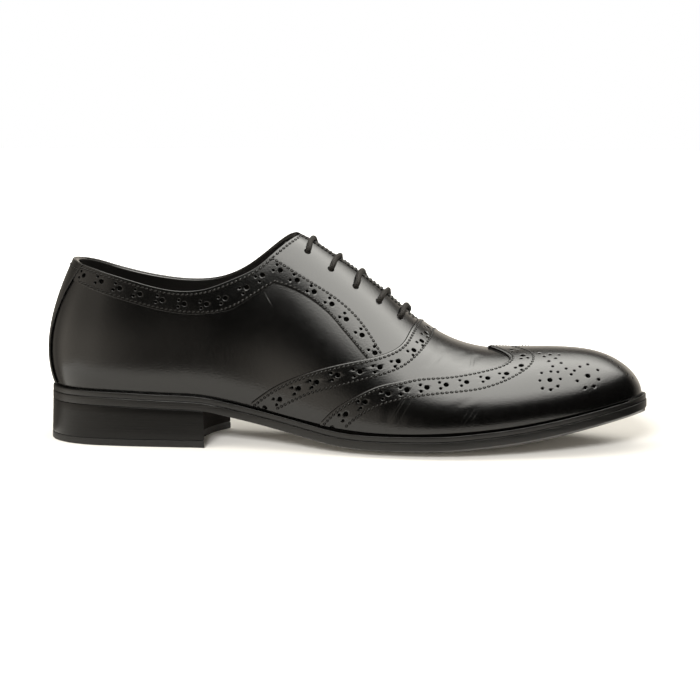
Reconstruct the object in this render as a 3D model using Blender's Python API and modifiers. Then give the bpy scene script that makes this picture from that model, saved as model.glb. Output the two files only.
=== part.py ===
"""A black full brogue oxford, the right shoe of a pair, standing empty on its sole.

Lengths are in millimetres until a mesh is made. x runs from the back of the heel to the toe,
y is negative on the outer (lateral) side of the foot, and z is the height above the floor.
"""

import math

import bmesh
import bpy
import numpy as np
from mathutils import Matrix, Vector

MM = 0.001
LATERAL, MEDIAL = -1.0, 1.0
SIDES = (LATERAL, MEDIAL)

# Driving dimensions.
ORIGIN_X = 150.25           # x of the part's origin, half way along the shoe
WALL = 2.0                  # upper leather with its lining
GAP = 0.3                   # clear space between pieces that rest on each other
OUTSOLE_THICK = 4.1
WELT_THICK = 2.5
INSOLE_THICK = 2.6
INSOLE_INSET = 3.2          # insole's edge in from the feather edge
WELT_INSET = 0.4            # the welt's and the heel's sides step back from the outsole's side
HEEL_INSET = 0.5
HEEL_BREAST_X = 87.0        # front corners of the heel
HEEL_BREAST_HOLLOW = 7.0
HEEL_ROUND_X = 40.0         # the heel's sides run straight from here to the breast
TOP_PIECE_THICK = 3.5       # rubber lift under the heel
FLAT_SPOT = (166.0, 211.0)  # the forefoot rests on the floor between these
FLAT_SHARE = 0.3            # share of the sole's half width that is flat across
LEATHER = 0.8               # thickness of a single overlay
VAMP_RISE = 1.3             # outer face of each overlay above the upper's outer face
WING_RISE = 2.5
STRIP_RISE = 1.25
OVERLAY_FOOT = 0.02         # overlays start this share of the way up, just clear of the welt
FACING_GAP_TOP = 5.0        # space between the two facings at the collar and at the throat
FACING_GAP_LOW = 3.0
FACING_TOP_X = 122.0
CORNER_SPAN = (100.0, 150.0)  # the corner of collar and facing lies between these
THROAT_X = 193.0            # the slit between the facings ends here, under the vamp
EYELET_RADIUS = 2.1
LACE_RADIUS = 1.35
LACE_OVER = 2.0             # lace's middle above the facings, and below them where it runs inside
LACE_UNDER = 3.9
LACE_LANE = 3.3             # how far a hidden run of lace keeps aside of an eyelet that it passes
BAR_SHARES = (0.6, 0.3)     # a bar's points, as shares of the way from the slit to its eyelets
TONGUE_SPAN = (124.0, 199.0)
TONGUE_CAUGHT_X = 184.0     # from here on the tongue rises to where it is caught under the vamp
TONGUE_DROP = 6.4           # tongue's outer face below the facings' outer face
TONGUE_DROP_LOW = 2.6
TONGUE_FOOT = 0.60          # share of the way up where the tongue's sides end
TONGUE_THICK = 2.0

# The last: one row for each section, from the middle of the heel's back to the tip of the toe.
# x            where the section stands at the feather edge, the line where upper meets welt
# lat, med     half width of the feather edge on the outer and the inner side
# swell_*      how far the wall leans out above the feather edge, and over what height
# crown_*      how far the top of the section runs out flat, and how far it has dropped by then
# top_x        where the section stands at its top
# top_half     half width of the cone's top, 0 where both sides meet on the ridge
# ridge_y      sideways place of the ridge
# top_z        height of the ridge
# ledge        how far the sole's edge stands out past the feather edge
LAST_COLUMNS = (
    "x", "lat", "med", "swell_lat", "swell_med", "swell_up",
    "crown_lat", "crown_med", "crown_down", "top_x", "top_half", "ridge_y", "top_z", "ledge",
)
LAST_ROWS = (
    (3.5, 0.0, 0.0, 9.0, 9.0, 24.0, 22.0, 22.0, 31.0, 23.5, 0.0, 0.0, 110.0, 2.0),
    (9.6, 17.5, 17.5, 9.0, 9.0, 24.0, 19.0, 19.0, 31.0, 27.0, 7.5, 0.0, 110.0, 2.0),
    (22.8, 27.6, 27.6, 8.5, 8.5, 24.0, 16.0, 16.0, 31.0, 34.0, 12.5, 0.0, 110.0, 2.0),
    (37.0, 30.5, 30.5, 8.0, 8.0, 24.0, 14.0, 14.0, 31.0, 43.0, 15.0, 0.0, 110.0, 2.0),
    (62.0, 31.0, 30.0, 7.5, 7.5, 23.5, 15.0, 15.0, 32.0, 64.0, 14.5, 0.0, 112.0, 2.0),
    (87.0, 30.5, 28.0, 7.5, 7.5, 23.0, 18.0, 18.0, 28.0, 87.0, 12.0, 0.5, 114.5, 2.0),
    (115.0, 32.5, 26.0, 8.0, 9.0, 25.0, 25.0, 24.0, 6.0, 115.0, 0.0, 1.5, 109.8, 2.2),
    (145.0, 40.0, 30.5, 7.0, 9.0, 27.0, 23.0, 22.0, 0.0, 145.0, 0.0, 2.5, 93.0, 3.0),
    (172.0, 45.5, 40.0, 5.5, 7.0, 25.0, 23.0, 22.0, 0.0, 172.0, 0.0, 3.0, 74.0, 4.0),
    (197.0, 47.5, 46.0, 4.0, 5.0, 20.0, 24.0, 24.0, 0.0, 197.0, 0.0, 3.0, 55.0, 4.5),
    (222.0, 44.5, 47.0, 3.5, 4.0, 18.0, 23.0, 24.0, 0.0, 222.0, 0.0, 3.0, 46.9, 4.8),
    (245.0, 37.5, 42.8, 3.0, 3.5, 16.0, 19.5, 21.5, 0.0, 245.0, 0.0, 3.2, 46.6, 5.0),
    (265.0, 29.5, 36.0, 2.5, 2.5, 14.5, 16.0, 19.0, 0.0, 265.0, 0.0, 3.5, 46.4, 5.0),
    (281.0, 20.0, 26.8, 2.0, 2.0, 12.5, 11.5, 14.5, 0.0, 281.0, 0.0, 3.7, 43.2, 5.0),
    (291.5, 10.5, 18.0, 1.2, 1.2, 9.0, 7.0, 9.0, 0.0, 291.5, 0.0, 3.9, 36.6, 5.0),
    (297.0, -4.0, 4.0, 0.0, 0.0, 0.0, 0.0, 0.0, 0.0, 297.0, 0.0, 4.0, 25.0, 5.0),
)
HEEL_FAN_X = 37.0           # behind this section the rows fan out round the heel

# Height of the sole's underside above the floor, at its edge and along its middle: heel seat,
# waist, tread and toe spring. The forefoot is crowned, so its edges stand clear of the floor.
TREAD_COLUMNS = ("x", "edge", "middle")
TREAD_ROWS = (
    (0.0, 20.2, 20.2), (40.0, 19.8, 19.8), (70.0, 18.9, 18.9), (87.0, 17.9, 17.5), (98.0, 15.8, 15.0),
    (111.0, 13.2, 11.6), (125.0, 10.4, 7.8), (140.0, 7.4, 3.9), (155.0, 4.7, 1.1), (168.0, 3.5, 0.0),
    (180.0, 3.3, 0.0), (195.0, 3.5, 0.0), (210.0, 4.0, 0.0), (222.0, 5.0, 0.8), (240.0, 6.8, 2.9),
    (260.0, 10.2, 6.6), (280.0, 14.5, 11.4), (302.0, 19.4, 17.6),
)

# Height of the collar's edge along the shoe on each side.
COLLAR_COLUMNS = ("x", "lateral", "medial")
COLLAR_ROWS = (
    (0.0, 94.5, 94.5), (13.0, 91.4, 91.4), (30.0, 88.0, 84.8), (50.0, 80.7, 80.0), (70.0, 77.1, 78.2),
    (87.0, 78.2, 81.0), (100.0, 83.0, 88.0), (112.0, 89.3, 97.0), (122.0, 98.6, 105.0),
    (132.0, 106.5, 113.0),
)
COLLAR_PARTS = (15.0, 29.0)  # between these the two sides' heights part

# Back edges of the vamp and the wing: share of the way up from feather edge to ridge, and where.
EDGE_COLUMNS = ("up", "x")
VAMP_EDGE_ROWS = (
    (0.0, 108.0), (0.16, 124.0), (0.25, 139.0), (0.33, 154.4), (0.41, 168.6), (0.46, 174.8),
    (0.56, 182.2), (0.73, 186.2), (0.90, 187.8), (1.0, 188.0),
)
WING_EDGE_ROWS = (
    (0.0, 145.0), (0.13, 155.4), (0.22, 166.5), (0.30, 177.4), (0.34, 183.8), (0.42, 195.4), (0.48, 208.3),
    (0.55, 221.0), (0.61, 229.8), (0.66, 233.8), (0.73, 235.5), (0.80, 233.8), (0.88, 230.0), (1.0, 223.0),
)
# Past these sections the overlays' meshes share the upper's sections, and from the last one on the
# upper's rows run at the overlays' shares of the way up.
VAMP_JOINS_X, WING_JOINS_X = 205.0, 243.0
ROWS_MATCH_X = 168.6

# Half width of the strip that covers the seam at the heel's back.
STRIP_COLUMNS = ("up", "half")
STRIP_ROWS = ((0.0, 15.8), (0.18, 16.4), (0.31, 18.2), (0.52, 18.7), (0.70, 18.2), (1.0, 16.8))

# The five pairs of eyelets, from the collar down: distance of each from the middle of the slit, and
# how far its bar of lace bows towards the toe.
EYELET_COLUMNS = ("x", "from_ridge", "bow")
EYELET_ROWS = (
    (134.0, 11.8, 0.0), (146.0, 13.6, 1.4), (158.5, 14.6, 0.0), (170.0, 14.0, 1.6), (180.5, 13.4, 0.0),
)

# The lace's points at an eyelet, from the run inside up to the bar: height above the facing's outer
# face, shift towards the slit, and shift back along the run inside.
TURN_COLUMNS = ("out", "to_slit", "back")
TURN_ROWS = ((-LACE_UNDER, 0.0, 2.4), (-2.9, 0.0, 0.24), (-0.4, -0.2, 0.0), (1.7, 0.9, 0.0))

# How finely the surfaces are divided.
UP_ROWS = 10
HEEL_COLUMNS, QUARTER_COLUMNS, FACING_COLUMNS, TOE_COLUMNS = 7, 10, 8, 15
OVERLAY_COLUMNS = 9
STRIP_HALF_COLUMNS = 4
TONGUE_COLUMNS, TONGUE_ROWS = 9, 4
SOLE_HEEL_COLUMNS, SOLE_WAIST_COLUMNS, SOLE_FLAT_COLUMNS, SOLE_TOE_COLUMNS = 7, 10, 4, 12
HEEL_ROUND_COLUMNS, HEEL_SIDE_COLUMNS = 7, 5
TOE_CROWDING = 1.5          # above 1, sections crowd together towards the toe's tip
EYELET_SEGMENTS = 10
FINE = 4001                 # samples of a curve where a place on it is looked up
TINY = 1e-4                 # step of a share where a slope is taken
NOSE = 0.997                # slopes are taken no nearer than this to the toe's tip
SOLE_ACROSS = (-1.0, -0.65, -FLAT_SHARE, 0.0, FLAT_SHARE, 0.65, 1.0)


def column(rows, names, name):
    """One named column of a table."""
    return np.array([row[names.index(name)] for row in rows], float)


def spline(knots, values, start="natural", end="natural"):
    """Cubic spline through values at knots. Each end is natural (no bend) or flat (no slope)."""
    knots, values = np.asarray(knots, float), np.asarray(values, float)
    count, step = len(knots), np.diff(knots)
    slope = np.diff(values) / step
    matrix, right = np.zeros((count, count)), np.zeros(count)
    for k in range(1, count - 1):
        matrix[k, k - 1:k + 2] = step[k - 1], 2 * (step[k - 1] + step[k]), step[k]
        right[k] = 6 * (slope[k] - slope[k - 1])
    matrix[0, 0] = matrix[-1, -1] = 1.0
    if start == "flat":
        matrix[0, :2], right[0] = (2 * step[0], step[0]), 6 * slope[0]
    if end == "flat":
        matrix[-1, -2:], right[-1] = (step[-1], 2 * step[-1]), -6 * slope[-1]
    bend = np.linalg.solve(matrix, right)

    def value(q):
        q = np.asarray(q, float)
        k = np.clip(np.searchsorted(knots, q) - 1, 0, count - 2)
        a, b = knots[k + 1] - q, q - knots[k]
        return (
            (bend[k] * a ** 3 + bend[k + 1] * b ** 3) / (6 * step[k])
            + (values[k] / step[k] - bend[k] * step[k] / 6) * a
            + (values[k + 1] / step[k] - bend[k + 1] * step[k] / 6) * b
        )

    return value


def monotone(knots, values):
    """Cubic curve through values at knots that never overshoots them, so that it can end at 0."""
    knots, values = np.asarray(knots, float), np.asarray(values, float)
    step, slope = np.diff(knots), np.diff(values) / np.diff(knots)
    tangent = np.concatenate([slope[:1], np.zeros(len(knots) - 2), slope[-1:]])
    for k in range(1, len(slope)):
        if slope[k - 1] * slope[k] > 0:
            tangent[k] = 2 / (1 / slope[k - 1] + 1 / slope[k])

    def value(q):
        k = np.clip(np.searchsorted(knots, q) - 1, 0, len(step) - 1)
        share = (q - knots[k]) / step[k]
        rest = 1 - share
        return (
            values[k] * rest ** 2 * (1 + 2 * share) + values[k + 1] * share ** 2 * (1 + 2 * rest)
            + step[k] * share * rest * (tangent[k] * rest - tangent[k + 1] * share)
        )

    return value


def table_spline(rows, names, key, name):
    """Spline of one column of a table over another."""
    return spline(column(rows, names, key), column(rows, names, name))


def last_column(name):
    return column(LAST_ROWS, LAST_COLUMNS, name)


def section_knots():
    """Distance of each section from the heel's back, measured along the feather edge, as a share."""
    x, out = last_column("x"), (last_column("lat") + last_column("med")) / 2
    run = np.concatenate([[0.0], np.cumsum(np.hypot(np.diff(x), np.diff(out)))])
    return run / run[-1]


KNOTS = section_knots()
ledge_width = spline(KNOTS, last_column("ledge"))
tread_edge = table_spline(TREAD_ROWS, TREAD_COLUMNS, "x", "edge")
tread_rise = table_spline(TREAD_ROWS, TREAD_COLUMNS, "x", "middle")
collar_lateral = table_spline(COLLAR_ROWS, COLLAR_COLUMNS, "x", "lateral")
collar_medial = table_spline(COLLAR_ROWS, COLLAR_COLUMNS, "x", "medial")
vamp_edge_x = table_spline(VAMP_EDGE_ROWS, EDGE_COLUMNS, "up", "x")
wing_edge_x = table_spline(WING_EDGE_ROWS, EDGE_COLUMNS, "up", "x")
strip_half = table_spline(STRIP_ROWS, STRIP_COLUMNS, "up", "half")


def collar_height(side, x):
    """Height of the collar's edge: both sides' mean at the heel's back, then each side's own."""
    apart = np.clip((x - COLLAR_PARTS[0]) / (COLLAR_PARTS[1] - COLLAR_PARTS[0]), 0, 1)
    mean = (collar_medial(x) + collar_lateral(x)) / 2
    lean = (collar_medial(x) - collar_lateral(x)) / 2
    return mean + side * lean * apart * apart * (3 - 2 * apart)


def feather_height(x):
    """Height of the upper's lower edge, just above the welt."""
    return tread_edge(x) + OUTSOLE_THICK + WELT_THICK + 2 * GAP


def control_splines(side):
    """Splines along the shoe of the four points that shape each section on one side."""
    name = "lat" if side == LATERAL else "med"
    x, out, top_x = last_column("x"), last_column(name), last_column("top_x")
    top_out = last_column("top_half") + side * last_column("ridge_y")
    run = np.stack([x - top_x, out - top_out], 1)
    length = np.linalg.norm(run, axis=1, keepdims=True)
    away = np.where(length > 1e-6, run / np.maximum(length, 1e-6), [0.0, 1.0])
    foot_z, top_z = feather_height(x), last_column("top_z")
    top_z[-1] = foot_z[-1]
    swell_x, swell_out = (away * last_column("swell_" + name)[:, None]).T
    crown_x, crown_out = (away * last_column("crown_" + name)[:, None]).T
    half, ridge = monotone(KNOTS, last_column("top_half")), spline(KNOTS, last_column("ridge_y"))
    points = (
        (x, spline(KNOTS, out), foot_z),
        (x + swell_x, spline(KNOTS, out + swell_out), foot_z + last_column("swell_up")),
        (top_x + crown_x, spline(KNOTS, top_out + crown_out), top_z - last_column("crown_down")),
        (top_x, lambda along: half(along) + side * ridge(along), top_z),
    )
    return [
        (spline(KNOTS, px, "flat", "flat"), out_at, spline(KNOTS, pz, "flat", "natural"))
        for px, out_at, pz in points
    ]


CONTROLS = {side: control_splines(side) for side in SIDES}


def last_surface(side, along, up):
    """Points of the upper's outer face: along is 0 at the heel's back and 1 at the toe's tip,
    up is 0 at the feather edge and 1 on the ridge. Each section is one Bezier curve."""
    along, up = np.broadcast_arrays(np.asarray(along, float), np.asarray(up, float))
    weights = ((1 - up) ** 3, 3 * (1 - up) ** 2 * up, 3 * (1 - up) * up ** 2, up ** 3)
    points = np.zeros(along.shape + (3,))
    for weight, (x_at, out_at, z_at) in zip(weights, CONTROLS[side]):
        points[..., 0] += weight * x_at(along)
        points[..., 1] += weight * out_at(along) * side
        points[..., 2] += weight * z_at(along)
    return points


def side_normal(side, along, up):
    """Outward normals of one side's own surface."""
    along, up = np.broadcast_arrays(np.asarray(along, float), np.asarray(up, float))
    along = np.minimum(along, NOSE)
    low, high = np.maximum(along - TINY, 0), along + TINY
    under, over = np.maximum(up - TINY, 0), np.minimum(up + TINY, 1)
    forward = last_surface(side, high, up) - last_surface(side, low, up)
    upward = last_surface(side, along, over) - last_surface(side, along, under)
    normal = np.cross(forward, upward) * -side
    normal[..., 1] *= along > TINY
    return normal / np.linalg.norm(normal, axis=-1, keepdims=True)


def last_normal(side, along, up):
    """Outward normals, the mean of both sides' on the ridge, where they meet."""
    normal = side_normal(side, along, up)
    ridge = side_normal(side, along, 1.0) + side_normal(-side, along, 1.0)
    ridge = ridge / np.linalg.norm(ridge, axis=-1, keepdims=True)
    on_ridge = np.broadcast_to(np.asarray(up) > 1 - 1e-6, normal.shape[:-1])
    return np.where(on_ridge[..., None], ridge, normal)


def raised(side, along, up, rise):
    """Points a given height outside the upper's outer face, or inside it where rise is negative."""
    return last_surface(side, along, up) + last_normal(side, along, up) * np.asarray(rise)[..., None]


def along_at(x):
    """Share along the shoe of the section at x, from the heel's sides forward."""
    dense = np.linspace(0, 1, FINE)
    return np.interp(x, CONTROLS[LATERAL][0][0](dense), dense)


def ridge_distance(side, along, up):
    """Distance of a point from the middle of the slit, sideways."""
    return (last_surface(side, along, up) - last_surface(side, along, 1.0))[..., 1] * side


def up_at(side, along, from_ridge):
    """Share of the way up where a section is this far from the middle of the slit."""
    dense = np.linspace(1, 0.3, FINE)
    return np.interp(from_ridge, ridge_distance(side, along, dense), dense)


def half_gap(x):
    """Half the space between the facings, which are closed from the throat on."""
    gap = np.interp(x, (FACING_TOP_X, THROAT_X), (FACING_GAP_TOP, FACING_GAP_LOW)) / 2
    return np.where(x < THROAT_X - 1e-6, gap, 0.0)


def top_shares(side, along):
    """How far up the upper goes to the collar's edge, and to the facing's edge or the ridge."""
    up = np.linspace(0, 1, FINE)
    grid = last_surface(side, along[:, None], up)
    x = grid[..., 0]
    above_collar = (grid[..., 2] >= collar_height(side, x)) & (x < THROAT_X)
    past_facing = (ridge_distance(side, along[:, None], up) <= half_gap(x)) & (x > CORNER_SPAN[0])
    return [np.where(hit.any(1), up[hit.argmax(1)], 1.0) for hit in (above_collar, past_facing)]


def crowded(start, count):
    """Sections from start to the toe's tip, closer together where the toe is round."""
    return start + (1 - start) * (1 - (1 - np.linspace(0, 1, count)) ** TOE_CROWDING)


def even_spans(*spans):
    """Sections evenly spaced in each span of start, end and count, without the span's end."""
    return np.concatenate([np.linspace(*span, endpoint=False) for span in spans])


def toe_columns():
    """The upper's sections from the throat to the toe's tip, which the overlays share."""
    return crowded(along_at(THROAT_X), TOE_COLUMNS)


def facing_corner(side):
    """Section where the collar's edge turns into the facing's edge."""
    near_corner = np.linspace(along_at(CORNER_SPAN[0]), along_at(CORNER_SPAN[1]), FINE // 5)
    collar, facing = top_shares(side, near_corner)
    return near_corner[np.argmax(facing < collar)]


def upper_columns(side):
    """The upper's sections, with one at the corner of collar and facing."""
    heel, corner, throat = along_at(HEEL_FAN_X), facing_corner(side), along_at(THROAT_X)
    behind_throat = even_spans(
        (0.0, heel, HEEL_COLUMNS), (heel, corner, QUARTER_COLUMNS), (corner, throat, FACING_COLUMNS),
    )
    return np.concatenate([behind_throat, toe_columns()])


def overlay_columns(edge, joins_x):
    """Sections of an overlay: even from its back edge to one forefoot section, then the upper's own."""
    shared = toe_columns()[toe_columns() >= along_at(joins_x)]
    even = np.linspace(0, 1, OVERLAY_COLUMNS, endpoint=False)[:, None]
    return np.concatenate([edge + (shared[0] - edge) * even, np.repeat(shared[:, None], len(edge), 1)])


def sole_edge(side, along, inset):
    """Plan of the sole's edge on one side, drawn in by inset."""
    behind, ahead = np.maximum(along - TINY, 0), np.minimum(along + TINY, 1)
    run = last_surface(side, ahead, 0) - last_surface(side, behind, 0)
    between_ends = (along > TINY) & (along < 1 - TINY)
    outward = np.stack([-run[:, 1], run[:, 0] * between_ends], 1) * side
    outward /= np.linalg.norm(outward, axis=1, keepdims=True)
    return last_surface(side, along, 0)[:, :2] + outward * (ledge_width(along) - inset)[:, None]


def sole_grid(along, inset):
    """Plan points of a sole layer across each section, and each point's share of the half width."""
    across = np.array(SOLE_ACROSS)
    lateral, medial = (sole_edge(side, along, inset)[:, None] for side in SIDES)
    whole = np.linalg.norm(sole_edge(MEDIAL, along, 0.0) - sole_edge(LATERAL, along, 0.0), axis=1)
    ratio = np.linalg.norm(medial - lateral, axis=2) / np.maximum(whole, 1e-6)[:, None]
    share = np.where(whole[:, None] > 1e-3, np.abs(across) * ratio, 1.0)
    return lateral + (medial - lateral) * (across[:, None] + 1) / 2, share


def tread_height(x, share):
    """Height of the sole's underside: the middle's height, rising in a curve to the edge's."""
    on_floor = (x >= FLAT_SPOT[0]) & (x <= FLAT_SPOT[1])
    middle = np.where(on_floor, 0.0, np.maximum(tread_rise(x), 0.0))
    crown = (np.maximum(share - FLAT_SHARE, 0.0) / (1 - FLAT_SHARE)) ** 2
    return middle + (tread_edge(x) - middle) * crown


def sole_columns():
    """Sections of the sole's layers, with two at the ends of the flat spot."""
    heel, flat_start, flat_end = (along_at(x) for x in (HEEL_FAN_X, *FLAT_SPOT))
    behind_toe = even_spans(
        (0.0, heel, SOLE_HEEL_COLUMNS), (heel, flat_start, SOLE_WAIST_COLUMNS),
        (flat_start, flat_end, SOLE_FLAT_COLUMNS),
    )
    return np.concatenate([behind_toe, crowded(flat_end, SOLE_TOE_COLUMNS)])


def linear(hex_colour):
    """Linear RGBA of an sRGB colour written as six hexadecimal digits."""
    channels = [int(hex_colour[k:k + 2], 16) / 255 for k in (0, 2, 4)]
    return [c / 12.92 if c <= 0.04045 else ((c + 0.055) / 1.055) ** 2.4 for c in channels] + [1.0]


def make_material(name, hex_colour, roughness):
    material = bpy.data.materials.new(name)
    material.use_nodes = True
    shader = material.node_tree.nodes["Principled BSDF"]
    shader.inputs["Base Color"].default_value = linear(hex_colour)
    shader.inputs["Roughness"].default_value = roughness
    shader.inputs["Metallic"].default_value = 0.0
    material.diffuse_color = linear(hex_colour)
    return material


def add_object(name, data, material, collection):
    piece = bpy.data.objects.new(name, data)
    data.materials.append(material)
    collection.objects.link(piece)
    return piece


def to_frame(point):
    """A point of the shoe in metres, in the part's own frame."""
    return Vector(((point[0] - ORIGIN_X) * MM, point[1] * MM, point[2] * MM))


def add_grid(mesh, points, flip):
    """Adds a grid of points and the faces between them to a bmesh, and returns the vertices."""
    rows = [[mesh.verts.new(to_frame(point)) for point in row] for row in points]
    for left, right in zip(rows, rows[1:]):
        for a, b, c, d in zip(left, right, right[1:], left[1:]):
            mesh.faces.new((d, c, b, a) if flip else (a, b, c, d))
    return rows


def finish_mesh(mesh, name):
    data = bpy.data.meshes.new(name)
    mesh.to_mesh(data)
    mesh.free()
    data.shade_smooth()
    data.set_sharp_from_angle(angle=math.radians(40))
    return data


def add_shell(name, sheets, thickness, material, collection):
    """An open surface made of a sheet of points for each side, thickened inwards."""
    mesh = bmesh.new()
    for side, points in sheets:
        add_grid(mesh, points, flip=side == MEDIAL)
    bmesh.ops.remove_doubles(mesh, verts=mesh.verts, dist=1e-6)
    bmesh.ops.dissolve_degenerate(mesh, edges=mesh.edges, dist=1e-7)
    piece = add_object(name, finish_mesh(mesh, name), material, collection)
    wall = piece.modifiers.new("wall", "SOLIDIFY")
    wall.thickness = thickness * MM
    wall.offset = -1.0
    wall.use_even_offset = True
    return piece


def add_slab(name, plan, low, high, material, collection):
    """A layer of the sole: the plan's points at their low heights, extruded to their high ones."""
    mesh = bmesh.new()
    height = mesh.verts.layers.float.new("height")
    points = np.concatenate([plan, low[..., None]], 2)
    for row, tops in zip(add_grid(mesh, points, flip=False), high):
        for vertex, top in zip(row, tops):
            vertex[height] = top * MM
    bmesh.ops.remove_doubles(mesh, verts=mesh.verts, dist=1e-6)
    made = bmesh.ops.extrude_face_region(mesh, geom=mesh.faces[:])["geom"]
    for vertex in (item for item in made if isinstance(item, bmesh.types.BMVert)):
        vertex.co.z = vertex[height]
    bmesh.ops.recalc_face_normals(mesh, faces=mesh.faces)
    return add_object(name, finish_mesh(mesh, name), material, collection)


def upper_sheet(side):
    """The upper from feather edge to collar, and along the facings in the same rows as the overlays."""
    along, share = upper_columns(side)[:, None], np.linspace(0, 1, UP_ROWS + 1)
    top = np.minimum(*top_shares(side, along[:, 0]))[:, None]
    matched = np.interp(along, (facing_corner(side), along_at(ROWS_MATCH_X)), (0.0, 1.0))
    up = share * top * (1 - matched) + np.minimum(share, top) * matched
    return last_surface(side, along, up)


def overlay_sheet(side, edge_x, joins_x, rise):
    """An overlay from its back edge to the toe's tip, over both sides of the ridge."""
    up = np.linspace(OVERLAY_FOOT, 1, UP_ROWS + 1)
    along = overlay_columns(along_at(edge_x(up)), joins_x)
    return raised(side, along, up, rise)


def strip_sheet(side):
    """The back strip as far out from the heel's seam as its half width at each height."""
    dense = np.linspace(0, along_at(HEEL_FAN_X), 801)
    top = np.minimum(*top_shares(side, dense))
    rows = []
    for share in np.linspace(OVERLAY_FOOT, 1, UP_ROWS + 1):
        out = np.abs(last_surface(side, dense, share * top)[:, 1])
        along = np.linspace(0, np.interp(strip_half(share), out, dense), STRIP_HALF_COLUMNS + 1)
        rows.append(raised(side, along, share * np.interp(along, dense, top), STRIP_RISE))
    return np.stack(rows, 1)


def tongue_sheet(side):
    """The tongue under the facings, level with them and rising to the vamp's seam at its low end."""
    x, up = np.linspace(*TONGUE_SPAN, TONGUE_COLUMNS + 1), np.linspace(TONGUE_FOOT, 1, TONGUE_ROWS + 1)
    drop = np.interp(x, (TONGUE_CAUGHT_X, TONGUE_SPAN[1]), (TONGUE_DROP, TONGUE_DROP_LOW))
    return raised(side, along_at(x)[:, None], up, -drop[:, None])


def eyelet_frames(side):
    """Each eyelet's place on the facing with its outward normal, and the directions to slit and toe."""
    frames = []
    for x, from_ridge, _ in EYELET_ROWS:
        along = along_at(x)
        up = up_at(side, along, from_ridge)
        place, normal = last_surface(side, along, up), last_normal(side, along, up)
        to_toe = last_surface(side, along + TINY, up) - place
        to_toe /= np.linalg.norm(to_toe)
        frames.append((place, normal, np.cross(to_toe, normal) * side, to_toe))
    return frames


def lace_route():
    """The lace from one hidden end to the other: five bars over the slit, and runs inside the facings
    from each eyelet to the next one that the same length of lace comes up through."""
    frames = {side: eyelet_frames(side) for side in SIDES}
    points = []

    def inside(side, k, lane):
        place, normal, to_slit, _ = frames[side][k]
        points.append(place - normal * LACE_UNDER + to_slit * lane)

    def through(side, k, before, after):
        """Points at one eyelet, going up from the run before it or down to the run after it."""
        place, normal, to_slit, to_toe = frames[side][k]
        from_eyelet = after if before is None else before
        run = to_toe * math.copysign(1.0, from_eyelet - k)
        turn = [place + normal * out + to_slit * aside + run * back for out, aside, back in TURN_ROWS]
        points.extend(turn[::-1] if before is None else turn)

    def bar(start, k, before, after):
        through(start, k, before, None)
        x, from_ridge, bow = EYELET_ROWS[k]
        stops = [(start, share) for share in (*BAR_SHARES, 0.0)]
        stops += [(-start, share) for share in reversed(BAR_SHARES)]
        for side, share in stops:
            along = along_at(x + bow * (1 - share))
            points.append(raised(side, along, up_at(side, along, from_ridge * share), LACE_OVER))
        through(-start, k, None, after)

    inside(LATERAL, 0, -LACE_LANE)
    bar(LATERAL, 1, 0, 3)
    inside(MEDIAL, 2, LACE_LANE)
    bar(MEDIAL, 3, 2, 4)
    bar(LATERAL, 4, 3, 2)
    inside(MEDIAL, 3, -LACE_LANE)
    bar(MEDIAL, 2, 3, 0)
    inside(LATERAL, 1, LACE_LANE)
    bar(LATERAL, 0, 1, 1)
    return np.array(points)


def add_lace(collection):
    """The lace as one round cord along its route."""
    curve = bpy.data.curves.new("lace", "CURVE")
    curve.dimensions = "3D"
    curve.bevel_depth = LACE_RADIUS * MM
    curve.bevel_resolution = 2
    curve.use_fill_caps = True
    route = lace_route()
    line = curve.splines.new("POLY")
    line.points.add(len(route) - 1)
    for slot, point in zip(line.points, route):
        slot.co = (*to_frame(point), 1.0)
    add_object("lace", curve, make_material("waxed cord", "2b2c2f", 0.55), collection)


def add_eyelet_holes(upper, cutters):
    """Cuts the ten punched eyelets through the facings."""
    for side in SIDES:
        for k, (place, normal, _, _) in enumerate(eyelet_frames(side)):
            mesh = bmesh.new()
            turn = Vector(normal).to_track_quat("Z", "Y").to_matrix().to_4x4()
            bmesh.ops.create_cone(
                mesh, cap_ends=True, segments=EYELET_SEGMENTS, radius1=EYELET_RADIUS * MM,
                radius2=EYELET_RADIUS * MM, depth=4 * WALL * MM,
                matrix=Matrix.Translation(to_frame(place)) @ turn,
            )
            name = f"eyelet_cutter_{'outer' if side == LATERAL else 'inner'}_{k}"
            cutter = bpy.data.objects.new(name, finish_mesh(mesh, name))
            cutter.hide_render = True
            cutter.display_type = "WIRE"
            cutters.objects.link(cutter)
    cut = upper.modifiers.new("eyelets", "BOOLEAN")
    cut.operation = "DIFFERENCE"
    cut.operand_type = "COLLECTION"
    cut.collection = cutters


def add_upper(calf, collection, cutters):
    upper = add_shell("upper", [(side, upper_sheet(side)) for side in SIDES], WALL, calf, collection)
    add_eyelet_holes(upper, cutters)
    vamp = [(side, overlay_sheet(side, vamp_edge_x, VAMP_JOINS_X, VAMP_RISE)) for side in SIDES]
    add_shell("vamp", vamp, LEATHER, calf, collection)
    wing = [(side, overlay_sheet(side, wing_edge_x, WING_JOINS_X, WING_RISE)) for side in SIDES]
    add_shell("wingtip", wing, LEATHER, calf, collection)
    strip = [(side, strip_sheet(side)) for side in SIDES]
    add_shell("back_strip", strip, LEATHER, calf, collection)
    tongue = [(side, tongue_sheet(side)) for side in SIDES]
    add_shell("tongue", tongue, TONGUE_THICK, calf, collection)


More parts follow.
